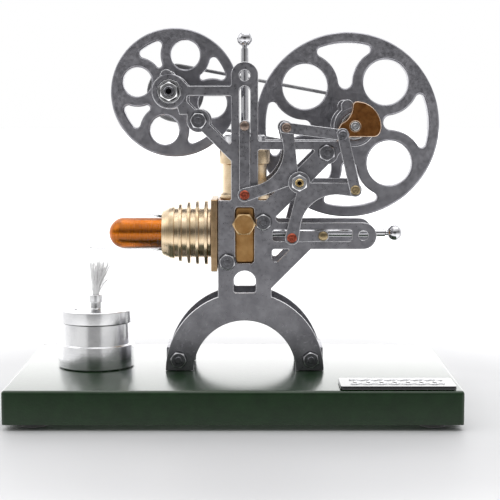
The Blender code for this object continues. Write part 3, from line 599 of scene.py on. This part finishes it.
def sweep(name, path, radius, sides=10, closed=True):
    # a round section carried along a path: radius times (cos a side + sin a up) about each point
    path = np.asarray(path, float)
    ahead = np.roll(path, -1, 0) - np.roll(path, 1, 0)
    if not closed:
        ahead[0], ahead[-1] = path[1] - path[0], path[-1] - path[-2]
    ahead /= np.linalg.norm(ahead, axis=1)[:, None]
    lift = np.eye(3)[np.argmin(np.abs(ahead).sum(0))]
    sideways = np.cross(ahead, lift)
    sideways /= np.linalg.norm(sideways, axis=1)[:, None]
    up = np.cross(sideways, ahead)
    a = np.linspace(0, 2 * math.pi, sides, endpoint=False)[None, :, None]
    radius = np.broadcast_to(np.asarray(radius, float), (len(path),))[:, None, None]
    grid = path[:, None] + radius * (np.cos(a) * sideways[:, None] + np.sin(a) * up[:, None])
    if not closed:
        first, last = (np.repeat(end[None, None], sides, 1) for end in (path[0], path[-1]))
        grid = np.concatenate((first, grid, last))
    return surface(name, grid, closed, 50)


makeBase()
print("base made")

# ---- frame
frameShape = {
    "archOuter": 38.4, "archInner": 24.8, "bodyHalf": 12.9, "towerHalf": 6.45, "bodyTop": 101.4,
    "towerEye": (powerX, 161.1), "guideEnd": (62.3, 84.3), "guideHalf": 6.4, "hub": 8.4,
    "crankBoss": 9.8, "boltBoss": 5.6, "armTop": 129.9, "armBottom": 125.8,
    "hubArmTop": 156.1, "hubArmBottom": 151.5, "edge": 0.25,
}
strutBolt = axisOf("strut_stud")
armBolt = axisOf("arm_stud")
frameBolts = [axisOf(f"frame_bolt_{i}") for i in (1, 2, 3, 4)]


def frameOutline():
    f = frameShape
    left, right = powerX - f["bodyHalf"], powerX + f["bodyHalf"]
    towerLeft, towerRight = powerX - f["towerHalf"], powerX + f["towerHalf"]
    arch = (powerX, deck)
    meet = math.degrees(math.acos(f["bodyHalf"] / f["archOuter"]))
    outerFoot = math.degrees(math.atan2(0.3, f["archOuter"]))
    innerFoot = math.degrees(math.atan2(0.3, f["archInner"]))
    hubEar = (wheelHub[0] - 1.4, wheelHub[1] + 7.4)
    crankEar = (crank[0] - 3.4, crank[1] + 9.6)
    return outline(
        arc(arch, f["archOuter"], 180 - outerFoot, 180 - meet, 2),
        (left, f["bodyTop"], 0.6), (towerLeft, f["bodyTop"], 1), (towerLeft, 120.35, 1),
        arc(strutBolt, f["boltBoss"], -72, -175),
        (-22.2, 142.5, 0.5), (-25.9, 142.5, 0.5),
        arc(wheelHub, f["hub"], -64, -242),
        arc(hubEar, 3, 180, 0, 8),
        arc(wheelHub, f["hub"], 78, 33),
        (-21.8, f["hubArmTop"], 0.5), (towerLeft, f["hubArmTop"], 0.8),
        arc(f["towerEye"], f["towerHalf"], 180, 0),
        (towerRight, f["armTop"], 0.8),
        arc(crank, f["crankBoss"], 226, 129),
        arc(crankEar, 3, 200, 15, 8),
        arc(crank, f["crankBoss"], 90, -109),
        arc(armBolt, f["boltBoss"], -10, -80),
        (17.4, 90.7, 2),
        arc(f["guideEnd"], f["guideHalf"], 90, -90),
        (37.1, 77.9, 0.8), (right, 58.9, 0.8),
        arc(arch, f["archOuter"], meet, outerFoot, 2),
        arc(arch, f["archInner"], innerFoot, 180 - innerFoot, 3),
    )


def frameOpenings():
    f = frameShape
    towerLeft, towerRight = powerX - f["towerHalf"], powerX + f["towerHalf"]
    strutWindow = outline(
        (-22.4, f["hubArmBottom"], 1), (-22.4, 148.7, 0.6), arc(strutBolt, f["boltBoss"], 108, -18),
        (towerLeft, 127.5, 0.8), (towerLeft, f["hubArmBottom"], 1))
    armWindow = outline(
        (towerRight, f["bodyTop"], 1), (15.3, f["bodyTop"], 1), (39.7, f["armBottom"], 0.8),
        (towerRight, f["armBottom"], 1))
    braceWindow = outline((18.4, 77.9, 1.2), (27.2, 77.9, 0.5), (18.4, 69.1, 1.8))
    lowerWindow = outline(
        arc((powerX, 62.0), 5.4, 180, 0), (powerX + 5.4, 56.6, 1.2), (powerX - 5.4, 56.6, 1.2))
    bolts = [circle(at, 2.25, 32) for at in (*frameBolts, strutBolt, armBolt)]
    return [
        strutWindow, armWindow, braceWindow, lowerWindow,
        slotShape(powerX - 2.7, 117.5, powerX + 2.7, 156.1),
        panel(18.6, displacerZ - 2.9, 57, displacerZ + 2.9, 1.6),
        panel(powerX - 4.6, 71.1, powerX + 4.6, 98.2, 1.5),
        circle(f["towerEye"], 2.65), circle((62.4, displacerZ), 2.3), circle(pivot, 2.25),
        circle(crank, 6.55), circle(wheelHub, 5.85), *bolts]


def makeFrame():
    loops = [frameOutline(), *frameOpenings()]
    for node, side in (("front_frame", -1), ("back_frame", 1)):
        sheet = plate(node + "Plate", loops, plateInner, plateOuter, side, frameShape["edge"])
        stand(edged(sheet, frameSteel, rubbedEdgeAndHighlight), None, node)
        # raised rings that the bearings are pressed into
        for label, centre, inner, outer in (("Wheel", wheelHub, 6.0, 8.0), ("Crank", crank, 6.75, 8.9)):
            ends = (side * (plateOuter - 0.1), side * (plateOuter + 0.42))
            profile = outline((inner, ends[0], 0), (outer, ends[0], 0), (outer, ends[1], 0.2),
                              (inner, ends[1], 0.2))
            trim(turnedY(f"{node}{label}Ring", centre, profile, 96, True), frameSteel, node)


def sink(piece, material, deepMaterial, depth):
    # the flat ring of faces at this depth gets the second finish
    paint(piece, material, deepMaterial)
    centres = np.empty(len(piece.data.polygons) * 3)
    piece.data.polygons.foreach_get("center", centres)
    deep = np.abs(centres.reshape(-1, 3)[:, 1] / mm - depth) < 0.02
    piece.data.polygons.foreach_set("material_index", deep.astype(int))
    return piece


def makeBearings():
    # a shielded ball bearing: outer ring, sunk dark shield, inner ring
    for name, centre, bore in (("crank_bearing", crank, 3.25), ("wheel_bearing", wheelHub, 2.75)):
        for where, side in bothSides:
            node = f"{name}_{where}"
            low, high = span(node)
            outer = (high[0] - low[0]) / 2
            far, near = plateOuter + 0.5, plateInner - 0.5
            shieldOut, shieldIn = outer - 1.1, bore + 0.95
            sunk = far - 0.35
            profile = outline(
                (bore, near, 0.15), (outer, near, 0.2), (outer, far, 0.2), (shieldOut, far, 0.1),
                (shieldOut, sunk, 0), (shieldIn, sunk, 0), (shieldIn, far, 0.1), (bore, far, 0.1))
            race = turnedY(node + "Race", centre, profile * (1, side), 72, True)
            stand(sink(race, brightSteel, darkShieldAndHoleShade, side * sunk), None, node)


def makeBolts():
    # a hex head with a chamfer and a stud end in its middle; a nut closes the back
    turns = {"frame_bolt_1": 12, "frame_bolt_2": 0, "frame_bolt_3": 20, "frame_bolt_4": 8,
             "strut_stud": 25, "arm_stud": 5}
    gap, seat, washer = plateInner - 0.3, plateOuter + 0.3, plateOuter + 0.03
    for node, turn in turns.items():
        low, high = span(node)
        at = axisOf(node)
        front, back = -low[1], high[1]
        sleeve = ()
        if node.endswith("stud"):
            sleeve = ((2, -gap, 0), (3.6, -gap, 0.2), (3.6, gap, 0.2), (2, gap, 0))
        shank = outline(
            (0, -front, 0), (1.55, -front, 0.2), (1.9, -front + 0.5, 0.2), (2, -front + 0.9, 0), *sleeve,
            (2, back - 0.4, 0.1), (1.6, back, 0.1), (0, back, 0), open=True)
        ring = outline((2.1, washer, 0), (4.3, washer, 0.1), (4.3, seat, 0.1), (2.1, seat, 0))
        pieces = [turnedY(node + "Shank", at, shank, 40)]
        pieces += [turnedY(f"{node}Washer{side}", at, ring * (1, side), 60, True) for side in (-1, 1)]
        pieces = [paint(piece, boltSteel) for piece in pieces]
        heads = [hexagon(node + "Head", at, 7, seat, front - 0.35, -1, 0, turn),
                 hexagon(node + "Nut", at, 7, seat, back - 0.5, 1, 1.9)]
        # the head and nut chamfers get the paler steel as a painted highlight, partly rubbed wear
        pieces += [edged(head, boltSteel, rubbedEdgeAndHighlight) for head in heads]
        stand(join(node + "Set", *pieces), None, node)


makeFrame()
makeBearings()
makeBolts()
for node in ("foot_block_left", "foot_block_right"):
    stand(easedBlock(node + "Body", *span(node)), frameSteel, node)
print("frame made")

# ---- hot side
cooler = {"fins": (15.9, 15.8, 15.3, 14.3), "first": -13.7, "pitch": 4.2, "thick": 1.5, "root": 12.2}
glassTube = {"radius": 9.1, "wall": 1.2}


def dome(end, radius, step=6.0):
    # quarter circle from the outer side to the centre of a round end
    a = np.radians(np.arange(0, 90 + step / 2, step))
    return np.column_stack((radius * np.cos(a), end + radius - radius * np.sin(a)))


def makeHotSide():
    stand(easedBlock("brassBlock", *span("cylinder_block")), blockBrass, "cylinder_block")
    # the block's face shows in the plate's window as a raised pad
    pad = plate("blockPad", [panel(powerX - 4.3, 71.4, powerX + 4.3, 97.9, 1.4)], 12.6, 14.2, -1, 0.4)
    trim(pad, blockBrass, "cylinder_block")
    low, high = span("hex_plug")
    at = axisOf("hex_plug")
    head = hexagon("plugHead", at, 9.7, 16.35, -low[1], -1, 0, 30)
    neck = outline((0, -16.5, 0), (3.8, -16.5, 0), (3.8, -15.4, 0), (0, -15.4, 0), open=True)
    plug = join("plugHex", edged(head, blockBrass, plugEdge), turnedY("plugNeck", at, neck, 48))
    stand(plug, None, "hex_plug")
    low, high = span("cylinder_flange")
    loops = [panel(low[1], low[2], high[1], high[2], 0.8), circle((0, displacerZ), 9.4)]
    flange = plate("flangeSquare", loops, 0, high[0] - low[0], 1, 0.3)
    flange.data.transform(Matrix.Rotation(math.pi / 2, 4, "Z"))
    flange.data.transform(Matrix.Translation((high[0] * mm, 0, 0)))
    stand(flange, flangeBrass, "cylinder_flange")
    low, high = span("finned_cooler")
    c = cooler
    parts = [(c["root"], high[0], 0.2)]
    for i, radius in enumerate(c["fins"]):
        right = c["first"] - c["pitch"] * i + c["thick"] / 2
        left = right - c["thick"]
        fin = ((c["root"], right), (radius, right), (radius, left), (c["root"], left))
        parts += [(*corner, 0.25) for corner in fin]
    parts += [(c["root"], -29.2, 0.2), (13.1, -29.2, 0.25), (12.4, -31.8, 0.3), (10.8, low[0], 0.4)]
    parts += [(9.4, low[0], 0.2), (9.4, high[0], 0.1)]
    body = turned("coolerBody", "X", displacerAxis, outline(*parts), 128, True)
    stand(body, coolerBrass, "finned_cooler")
    low, high = span("glass_tube")
    outer, end = glassTube["radius"], high[0]
    inner = outer - glassTube["wall"]
    profile = np.vstack((
        dome(low[0] + glassTube["wall"], inner)[::-1],
        ((inner, end - 0.2), (inner + 0.2, end), (outer - 0.2, end), (outer, end - 0.2)),
        dome(low[0], outer)))
    sleeve = turned("glassSleeve", "X", displacerAxis, profile, 96, False, 60)
    stand(sleeve, tubeGlass, "glass_tube")
    low, high = span("displacer")
    radius = (high[2] - low[2]) / 2
    base = outline((0, high[0]), (radius, high[0], 0.8), (radius, high[0] - 3), open=True)
    profile = np.vstack((base, dome(low[0], radius)))
    shell = turned("displacerShell", "X", displacerAxis, profile, 96, False, 60)
    stand(shell, displacerCopper, "displacer")


def ballRod(name, axis, centre, node, start, ball, radius=1.8, knob=3.75):
    # a straight rod with a short neck under a turned ball
    neck = math.degrees(math.acos(1.35 / knob))
    sphere = arc((0, ball), knob, 90, -neck, 5)
    collar = [(1.35, ball - knob - 0.6), (radius, ball - knob - 1.0), (radius, start + 0.3),
              (radius - 0.3, start), (0, start)]
    profile = np.vstack(((0, ball + knob), sphere[sphere[:, 0] > -0.01][1:], collar))
    stand(turned(name, axis, centre, profile, 72), chromePlate, node)


def crossPin(name, node, rivet):
    # a pin with a domed rivet head outside each guide link
    tip, head, radius = span(node)[1][1], 18.9, 2.3
    a = np.radians(np.linspace(0, 90, 7))
    brim = head + 0.35
    crown = np.column_stack((radius * np.cos(a), brim + (tip - brim) * np.sin(a)))[::-1]
    half = np.vstack((crown, (radius, head), (1.0, head)))
    profile = np.vstack((half, (half * (1, -1))[::-1]))
    stand(turnedY(name, axisOf(node), profile, 48), rivet, node)


def makePowerSide():
    low, high = span("power_cylinder")
    profile = outline(
        (12.3, high[2], 0.4), (12.3, 118.7, 0.4), (10.8, 118.1, 0.2), (10.8, 104.6, 0.3), (12.1, 103.4, 0.3),
        (12.1, low[2], 0.3), (9.1, low[2], 0.1), (9.1, high[2], 0.4))
    stand(turned("brassCylinder", "Z", powerAxis, profile, 112, True), cylinderBrass, "power_cylinder")
    low, high = span("power_piston")
    profile = outline(
        (0, high[2]), (2.6, high[2], 0.2), (3.0, high[2] - 0.5, 0.2), (9.2, high[2] - 0.5, 0.3),
        (10, high[2] - 1.2, 0.3), (10, 128.6, 0.4), (8.8, 128.6, 0.2), (8.8, low[2], 0.4), (0, low[2]),
        open=True)
    stand(turned("pistonBody", "Z", powerAxis, profile, 112), pistonSteel, "power_piston")
    ballRod("powerRodBall", "Z", powerAxis, "power_rod", span("power_rod")[0][2], 179.2)
    ballRod("slideRodBall", "X", displacerAxis, "displacer_rod", span("displacer_rod")[0][0], 78.9)
    crossPin("powerCrossPin", "power_cross_pin", brownRivet)
    crossPin("slideCrossPin", "displacer_cross_pin", brassRivet)


makeHotSide()
makePowerSide()
print("cylinders and rods made")

# ---- linkage
bell = {"eye": 3.3, "hub": 5.2, "hollow": 17.0, "edge": 0.25}
bar = {"eye": 3.2, "guideEye": 2.75, "waist": 2.6, "edge": 0.25}
layers = {"guide": (16.6, 18.6), "bellA": (19.0, 21.5), "bellB": (21.9, 24.4), "linkB": (24.8, 27.3)}


def armAngle(at):
    return math.degrees(math.atan2(at[1] - pivot[1], at[0] - pivot[0]))


def armEnd(angle):
    return tuple(turnPoints(np.array([armLength, 0.0]), angle, pivot))


angleA, angleB = armAngle(topPin), armAngle(rightPin)
leftPin, lowPin = armEnd(angleA + 90), armEnd(angleB - 90)


def bellLoops(angle):
    # two arms a quarter turn apart: an eye at each end, a hub, one large hollow inside the elbow
    away = bell["eye"] + bell["hollow"]
    local = np.vstack((
        arc((armLength, 0), bell["eye"], -90, 90, 8), arc((away, away), bell["hollow"], 270, 180),
        arc((0, armLength), bell["eye"], 0, 180, 8), arc((0, 0), bell["hub"], 97, 353, 6)))
    holes = [circle(armEnd(angle + a), 1.55, 32) for a in (0, 90)]
    return [turnPoints(local, angle, pivot), circle(pivot, 2.25, 40), *holes]


def barLoop(start, end, radius, waist):
    start, end = np.array(start), np.array(end)
    angle = math.degrees(math.atan2(*(end - start)[::-1]))
    opening = math.degrees(math.acos(waist / radius))
    return np.vstack((arc(end, radius, angle - 90 + opening, angle + 90 - opening, 8),
                      arc(start, radius, angle + 90 + opening, angle + 270 - opening, 8)))


def rivetHead(name, at, near, far, radius, side=-1, dimple=0.75):
    # a low round head with a punched dimple
    rise = far - near
    profile = outline(
        (0, near + rise * 0.62), (dimple, near + rise * 0.7, 0.1), (dimple + 0.25, far, 0.1),
        (radius - 0.55, far, 0.3), (radius, near + rise * 0.45, 0.2), (radius, near), (0, near), open=True)
    return turnedY(name, at, profile * (1, side), 48)


def pinRod(name, at, near, far, ease=0):
    profile = outline((0, near), (1.3, near, ease), (1.3, far, ease), (0, far), open=True)
    return turnedY(name, at, profile, 40)


def makeLinkage():
    for name, angle in (("a", angleA), ("b", angleB - 90)):
        for where, side in bothSides:
            node = f"bell_crank_{name}_{where}"
            near, far = layers["bell" + name.upper()]
            sheet = plate(node + "Plate", bellLoops(angle), near, far, side, bell["edge"])
            stand(edged(sheet, linkSteel, rubbedEdgeAndHighlight), None, node)
    for node, at in (("tie_pin_a", topPin), ("tie_pin_b", rightPin)):
        low, high = span(node)
        stand(pinRod(node + "Rod", at, low[1], high[1], 0.2), brightSteel, node)
        trim(hexagon(node + "Nut", at, 5.5, high[1] + 0.1, high[1] + 2.3, 1), brightSteel, node)
    for name, start, end, layer in (("vertical_link", leftPin, powerPin, "bellA"),
                                    ("horizontal_link", lowPin, slidePin, "bellB")):
        reach = layers[layer][1]
        for where, side in bothSides:
            node = f"{name}_{where}"
            loops = [barLoop(start, end, bar["guideEye"], bar["waist"]), circle(end, 2.1, 40)]
            sheet = plate(node + "Bar", loops, *layers["guide"], side, bar["edge"])
            post = pinRod(node + "Post", start, side * (layers["guide"][1] - 0.2), side * reach)
            head = rivetHead(node + "Rivet", start, reach, reach + 0.8, 2.35, side)
            whole = join(node + "Set", edged(sheet, linkSteel, rubbedEdgeAndHighlight), paint(post, boltSteel),
                         paint(head, copperRivet))
            stand(whole, None, node)
    for node, end, layer, rivet in (("link_a", topPin, "bellB", brownRivet),
                                    ("link_b", rightPin, "linkB", brassRivet)):
        far = layers[layer][1]
        loops = [barLoop(crankPin, end, bar["eye"], bar["waist"]), circle(crankPin, 1.55, 32)]
        sheet = plate(node + "Bar", loops, *layers[layer], -1, bar["edge"])
        stand(edged(sheet, linkSteel, rubbedEdgeAndHighlight), None, node)
        trim(rivetHead(node + "Rivet", end, far, min(far + 0.8, 28.3), 2.3), rivet, node)


def makePivot():
    low, high = span("pivot_shaft")
    hole = low[1] + 1.2
    profile = outline(
        (0, hole), (0.95, hole, 0), (1.05, low[1], 0.1), (1.7, low[1], 0.1), (2, low[1] + 0.3, 0.1),
        (2, high[1] - 0.3, 0.1), (1.7, high[1], 0.1), (0, high[1]), open=True)
    post = turnedY("pivotPost", pivot, profile, 48)
    # the bottom of the post's end hole is painted near-black as painted shade
    stand(sink(post, pivotBrass, darkShieldAndHoleShade, hole), None, "pivot_shaft")
    low, high = span("pivot_nut")
    stand(hexagon("pivotHex", pivot, 7, -high[1], -low[1], -1, 2.1), brightSteel, "pivot_nut")
    trim(hexagon("pivotHexRear", pivot, 7, 24.7, 27.2, 1, 2.1), brightSteel, "pivot_shaft")


makeLinkage()
makePivot()
print("linkage made")

# ---- crank and wheels
wheelShape = {"edge": 0.9, "edgeSteps": 5}
largeWheel = {"rim": 47.2, "ring": 29.3, "hole": 11.55, "fan": (17.1, 41.8, 18.6, 2.4), "first": 48}
smallWheel = {"rim": 32.8, "ring": 19.95, "hole": 7.45, "fan": (12.7, 27.6, 14.9, 2.2), "first": 74.3}


def fanHole(ringRadius, side, outer, tip, fillet):
    # its sides run round the two neighbouring round holes, its ends are rounded
    hole = ringRadius * math.sqrt(0.5)
    nose = (2 * hole**2 - 2 * hole * tip + tip**2 - side**2) / 2 / (side + hole - tip)
    tipCentre = (tip + nose, 0)
    endCentre = crossing((0, 0), outer - fillet, (hole, hole), side + fillet, -1)
    toTip = math.degrees(math.atan2(-hole, tipCentre[0] - hole)) % 360
    toEnd = math.degrees(math.atan2(endCentre[1] - hole, endCentre[0] - hole)) % 360
    out = math.degrees(math.atan2(endCentre[1], endCentre[0]))
    half = np.vstack((
        arc(tipCentre, nose, 180, toTip - 180, 8), arc((hole, hole), side, toTip, toEnd, 3)[1:],
        arc(endCentre, fillet, toEnd - 180, out, 12)[1:]))
    rimArc = arc((0, 0), outer, out, -out, 2)[1:-1]
    return np.vstack((half, rimArc, (half * (1, -1))[:0:-1]))


def wheel(node, centre, bore, shape):
    loops = [circle(centre, shape["rim"], 180), circle(centre, bore, 48)]
    for i in range(4):
        angle = shape["first"] + 90 * i
        loops.append(turnPoints(circle((shape["ring"], 0), shape["hole"], 72), angle, centre))
        loops.append(turnPoints(fanHole(shape["ring"], *shape["fan"]), angle + 45, centre))
    low, high = span(node)
    body = plate(node + "Body", loops, low[1], high[1], 1, *wheelShape.values(), 26)
    root, face = low[1] + 0.4, low[1] - 1.6
    profile = outline((bore, root, 0), (bore + 5.2, root, 0), (bore + 4.8, face, 0.5), (bore, face, 0.3))
    boss = turnedY(node + "Boss", centre, profile, 72, True)
    stand(join(node + "Cast", body, boss), wheelSteel, node)


def makeWheels():
    wheel("large_flywheel", crank, 3.25, largeWheel)
    wheel("small_flywheel", wheelHub, 2.75, smallWheel)
    for node, centre, bore in (("large_pulley", crank, 3.25), ("small_pulley", wheelHub, 2.75)):
        low, high = span(node)
        rim, mid = (high[0] - low[0]) / 2, (low[1] + high[1]) / 2
        a = np.radians(np.linspace(-78, 78, 15))
        groove = np.column_stack((14.2 - 1.25 * np.cos(a), mid - 1.25 * np.sin(a)))
        face, recess = high[1], high[1] - 0.7
        profile = np.vstack((
            (rim, face), groove, (rim, low[1]), (bore, low[1]), (bore, face), (bore + 2.6, face),
            (bore + 3.0, recess), (11.2, recess), (11.6, face)))
        metal = turnedMetal(node + "Metal", "Y", (centre[0], 0, centre[1]), (0.34, 0.34, 0.35),
                            (0.45, 0.45, 0.46), 0.3, 0.14)
        stand(turnedY(node + "Disc", centre, profile, 120, True), metal, node)
    makeBelt()


def makeBelt():
    # the belt's centre runs on two half circles joined by straight runs
    low, high = span("drive_belt")
    y = (low[1] + high[1]) / 2
    slope = math.degrees(math.atan2(crank[1] - wheelHub[1], crank[0] - wheelHub[0]))
    radius = 14.2
    route = np.vstack((
        arc(crank, radius, slope - 90, slope + 90, 4), arc(wheelHub, radius, slope + 90, slope + 270, 4)))
    path = np.column_stack((route[:, 0], np.full(len(route), y), route[:, 1]))
    stand(sweep("beltLoop", path, 0.9, 14), beltRubber, "drive_belt")


def makeCrank():
    low, high = span("crankshaft")
    shoulder = -16.7
    profile = outline(
        (0, high[1]), (2.5, high[1], 0.2), (3, high[1] - 0.5, 0.2), (3, shoulder, 0.2), (2.2, shoulder, 0),
        (2.2, low[1] + 0.25, 0.15), (1.9, low[1], 0.15), (0.9, low[1], 0.1), (0.6, low[1] + 0.5, 0.1),
        (0, low[1] + 0.5), open=True)
    stand(turnedY("crankshaftRod", crank, profile, 60), brightSteel, "crankshaft")
    x, z = crank
    shape = outline(
        arc((x + 0.3, z - 0.3), 12, 84, -4), (x + 11.2, z - 5, 3.4), (x - 2.4, z - 5, 2),
        arc(crankPin, 3.4, 270, 120, 8), arc((x - 10.3, z + 9.5), 9.1, -66, -3), (x - 1.1, z + 11.7, 2))
    loops = [shape, circle(crank, 2.45, 40), circle(crankPin, 1.55, 32)]
    weight = plate("weightPlate", loops, 17.0, 21.4, -1, 0.3)
    stand(edged(weight, weightBrass, weightEdge), None, "counterweight")
    low, high = span("crank_pin")
    tip, collar = -low[1], -low[1] - 1
    profile = outline(
        (0, tip - 0.3), (1.0, tip - 0.25, 0.1), (1.2, tip, 0.1), (1.9, tip, 0.2), (2.4, collar + 0.4, 0.2),
        (2.4, collar, 0), (1.3, collar, 0), (1.3, 17.0, 0), (0, 17.0), open=True)
    stand(turnedY("crankPinRod", crankPin, profile * (1, -1), 48), boltSteel, "crank_pin")
    low, high = span("small_shaft")
    hole = low[1] + 1.6
    profile = outline(
        (0, high[1]), (2.1, high[1], 0.2), (2.5, high[1] - 0.4, 0.2), (2.5, low[1] + 0.4, 0.2),
        (2.1, low[1], 0.2), (1.4, low[1], 0.05), (1.3, hole, 0), (0, hole), open=True)
    spindle = turnedY("smallShaftRod", wheelHub, profile, 48)
    # the bottom of the spindle's end hole is painted near-black as painted shade
    stand(sink(spindle, boltSteel, darkShieldAndHoleShade, hole), None, "small_shaft")
    low, high = span("small_shaft_nut")
    stand(hexagon("hubHex", wheelHub, 8, -high[1], -low[1], -1, 2.75), brightSteel, "small_shaft_nut")


makeCrank()
makeWheels()
print("crank and wheels made")

# ---- burner
burner = {"cup": 17.4, "cupTop": 40.6, "lid": 18.7, "lidTop": 47.0, "step": 30.2, "vent": (-9.5, -4.0)}
wick = {"strands": 250, "sides": 5, "steps": 14, "seed": 5, "mouth": 53.5, "lean": 3.8, "reach": 3.1}


def makeBurner():
    base = span("burner_cup")[0][2]
    cup, lid, cupTop, top, step = (burner[key] for key in ("cup", "lid", "cupTop", "lidTop", "step"))
    floor, inner = base + 1.5, cup - 1.4
    profile = outline(
        (0, floor), (inner, floor, 0.5), (inner, cupTop, 0.2), (cup, cupTop, 0.3), (cup, step, 0.25),
        (lid, step - 0.3, 0.35), (lid, base, 0.5), (0, base), open=True)
    stand(turned("burnerCup", "Z", burnerAxis, profile, 144), burnerAluminium, "burner_cup")
    skirt, under, rim = lid - 1.1, top - 1.4, cupTop + 0.3
    profile = outline(
        (3, 34, 0.1), (3, under, 0), (skirt, under, 0.2), (skirt, rim, 0.1), (lid, rim, 0.25),
        (lid, top, 0.45), (3, top, 0.3), (3, 50, 0.15), (3.6, 50.2, 0.15), (3.6, 54, 0.3), (1.9, 54, 0.2),
        (1.9, 34, 0.1))
    stand(turned("burnerLid", "Z", burnerAxis, profile, 144, True), burnerAluminium, "burner_lid")
    lip = top + 0.02
    # the vent is a shallow near-black dimple: painted shade standing in for the vent hole
    vent = outline((0, lip), (0.55, lip, 0), (0.75, lip + 0.1, 0.05), (0.95, lip), (0, top - 0.4), open=True)
    x, y = burner["vent"]
    trim(turned("lidVent", "Z", (burnerX + x, y, 0), vent, 32), darkShieldAndHoleShade, "burner_lid")


def makeWick():
    # strands start on a sunflower pattern in the tube and bend outwards as they rise, thinning to a point
    low, high = span("wick")
    rng = np.random.default_rng(wick["seed"])
    count = wick["strands"]
    k = np.arange(count)
    ring, turn = 1.4 * np.sqrt((k + 0.5) / count), k * 2.39996
    top = high[2] - 0.4 - 9 * rng.random(count) ** 1.4
    spread = wick["reach"] * (ring / 1.4) * (0.6 + 0.8 * rng.random(count))
    lean = np.column_stack((wick["lean"] * (0.1 + 0.9 * rng.random(count)), rng.normal(0, 0.7, count)))
    t = np.linspace(0, 1, wick["steps"])
    pieces = []
    for i in k:
        height = low[2] + (top[i] - low[2]) * t
        rise = np.clip((height - wick["mouth"]) / (top[i] - wick["mouth"]), 0, 1)
        out = ring[i] + spread[i] * rise**1.3
        x = out * math.cos(turn[i]) + lean[i, 0] * rise**1.5 + 0.3 * rise * np.sin(9 * t + turn[i])
        y = out * math.sin(turn[i]) + lean[i, 1] * rise + 0.3 * rise * np.cos(8 * t + turn[i])
        path = np.column_stack((burnerX + x, y, height))
        pieces.append(sweep(f"strand{i}", path, 0.17 * (1 - 0.4 * t**4), wick["sides"], False))
    stand(join("wickTuft", *pieces), wickFibre, "wick")


makeBurner()
makeWick()
print("burner made")

# ---- studio
camera = {"place": (0.00777, -0.6957, 0.14565), "pitch": 5.72, "lens": 102.1}
studio = {
    "back": 2.0, "side": 1.05, "floor": (0.53, 0.53, 0.54), "glow": 0.9, "glowFrom": (0.15, 0.42),
    # brightness by height, from straight down to straight up
    "front": {0.0: 1.7, 0.3: 1.7, 0.43: 0.95, 0.5: 0.6, 0.57: 0.25, 0.7: 0.3, 0.85: 1.0, 1.0: 1.2},
    "gap": {"low": 0.6, "high": 0.22},  # straight ahead, below and above the horizon
}


def makeStudio():
    scene = bpy.context.scene
    scene.view_settings.view_transform = "Standard"
    lens = bpy.data.cameras.new("camera")
    lens.lens = camera["lens"]
    lens.sensor_width = 36
    lens.clip_start = 0.01
    view = link(bpy.data.objects.new("camera", lens))
    view.location = camera["place"]
    view.rotation_euler = (math.radians(90 - camera["pitch"]), 0, 0)
    scene.camera = view
    makeFloor()
    makeSky(scene)
    softbox("overhead", (0.15, 0.1, 1.2), (0, 0, 0.1), 1.2, 7)
    softbox("leftBox", (-1.1, -0.2, 0.8), (0, 0, 0.1), 0.8, 2.5)


def makeFloor():
    # a wide pale floor that grows lighter away from the object
    a = np.linspace(0, 2 * math.pi, 96, endpoint=False)
    r = np.array([0.0, 300.0, 1200.0, 9000.0])[:, None]
    floor = surface("floor", np.stack((r * np.cos(a), r * np.sin(a), 0 * r * a), -1))
    paper = finish("paperFloor", studio["floor"], 0.55, 0.0, Emission_Color=(1, 1, 1, 1))
    blendRoughness(paper, cloud(paper, place(paper), 60.0), 0.5, 0.6)
    away = addNode(paper.node_tree, "VectorMath", {0: place(paper)}, operation="LENGTH")
    near, far = studio["glowFrom"]
    inputs = {"Value": away.outputs["Value"], "From Min": near, "From Max": far, "To Max": studio["glow"]}
    fade = addNode(paper.node_tree, "MapRange", inputs, interpolation_type="SMOOTHSTEP")
    feed(paper, fade.outputs["Result"], "Emission Strength")
    paint(floor, paper)
    floor.visible_glossy = False


def makeSky(scene):
    # reflections see a pale room in front with a dimmer gap straight ahead, and a bright sweep behind
    world = bpy.data.worlds.new("studioWorld")
    scene.world = world
    world.use_nodes = True
    tree = world.node_tree
    direction = addNode(tree, "TexCoord", {}).outputs["Generated"]
    apart = addNode(tree, "SeparateXYZ", {"Vector": direction})

    def ranged(axis, low, high, first, last):
        inputs = {
            "Value": apart.outputs[axis], "From Min": low, "From Max": high,
            "To Min": first, "To Max": last,
        }
        return addNode(tree, "MapRange", inputs).outputs["Result"]

    ramp = addNode(tree, "ValToRGB", {"Fac": ranged("Z", -1, 1, 0, 1)})
    stops, levels = ramp.color_ramp.elements, studio["front"]
    while len(stops) < len(levels):
        stops.new(0.5)
    for stop, (at, level) in zip(stops, levels.items()):
        stop.position = at
        stop.color = (level, level, level, 1)
    dim = ranged("Z", -0.16, 0.0, studio["gap"]["low"], studio["gap"]["high"])
    gap = ranged("Y", -0.94, -0.9, dim, 1)
    front = addNode(tree, "Math", {0: ramp.outputs["Color"], 1: gap}, operation="MULTIPLY")
    behind = ranged("Y", 0.3, 0.95, studio["side"], studio["back"])
    turn = ranged("Y", -0.2, 0.15, 0, 1)
    around = addNode(tree, "Mix", {"Factor": turn, "A": front.outputs["Value"], "B": behind})
    seen = addNode(tree, "LightPath", {}).outputs["Is Camera Ray"]
    level = addNode(tree, "Mix", {"Factor": seen, "A": around.outputs["Result"], "B": 1.0})
    light = tree.nodes["Background"]
    light.inputs["Color"].default_value = (1, 1, 1, 1)
    tree.links.new(level.outputs["Result"], light.inputs["Strength"])


def softbox(name, at, target, size, power):
    lamp = bpy.data.lights.new(name, "AREA")
    lamp.shape = "SQUARE"
    lamp.size = size
    lamp.energy = power
    box = link(bpy.data.objects.new(name, lamp))
    box.location = at
    box.rotation_euler = (Vector(target) - Vector(at)).to_track_quat("-Z", "Y").to_euler()


makeStudio()
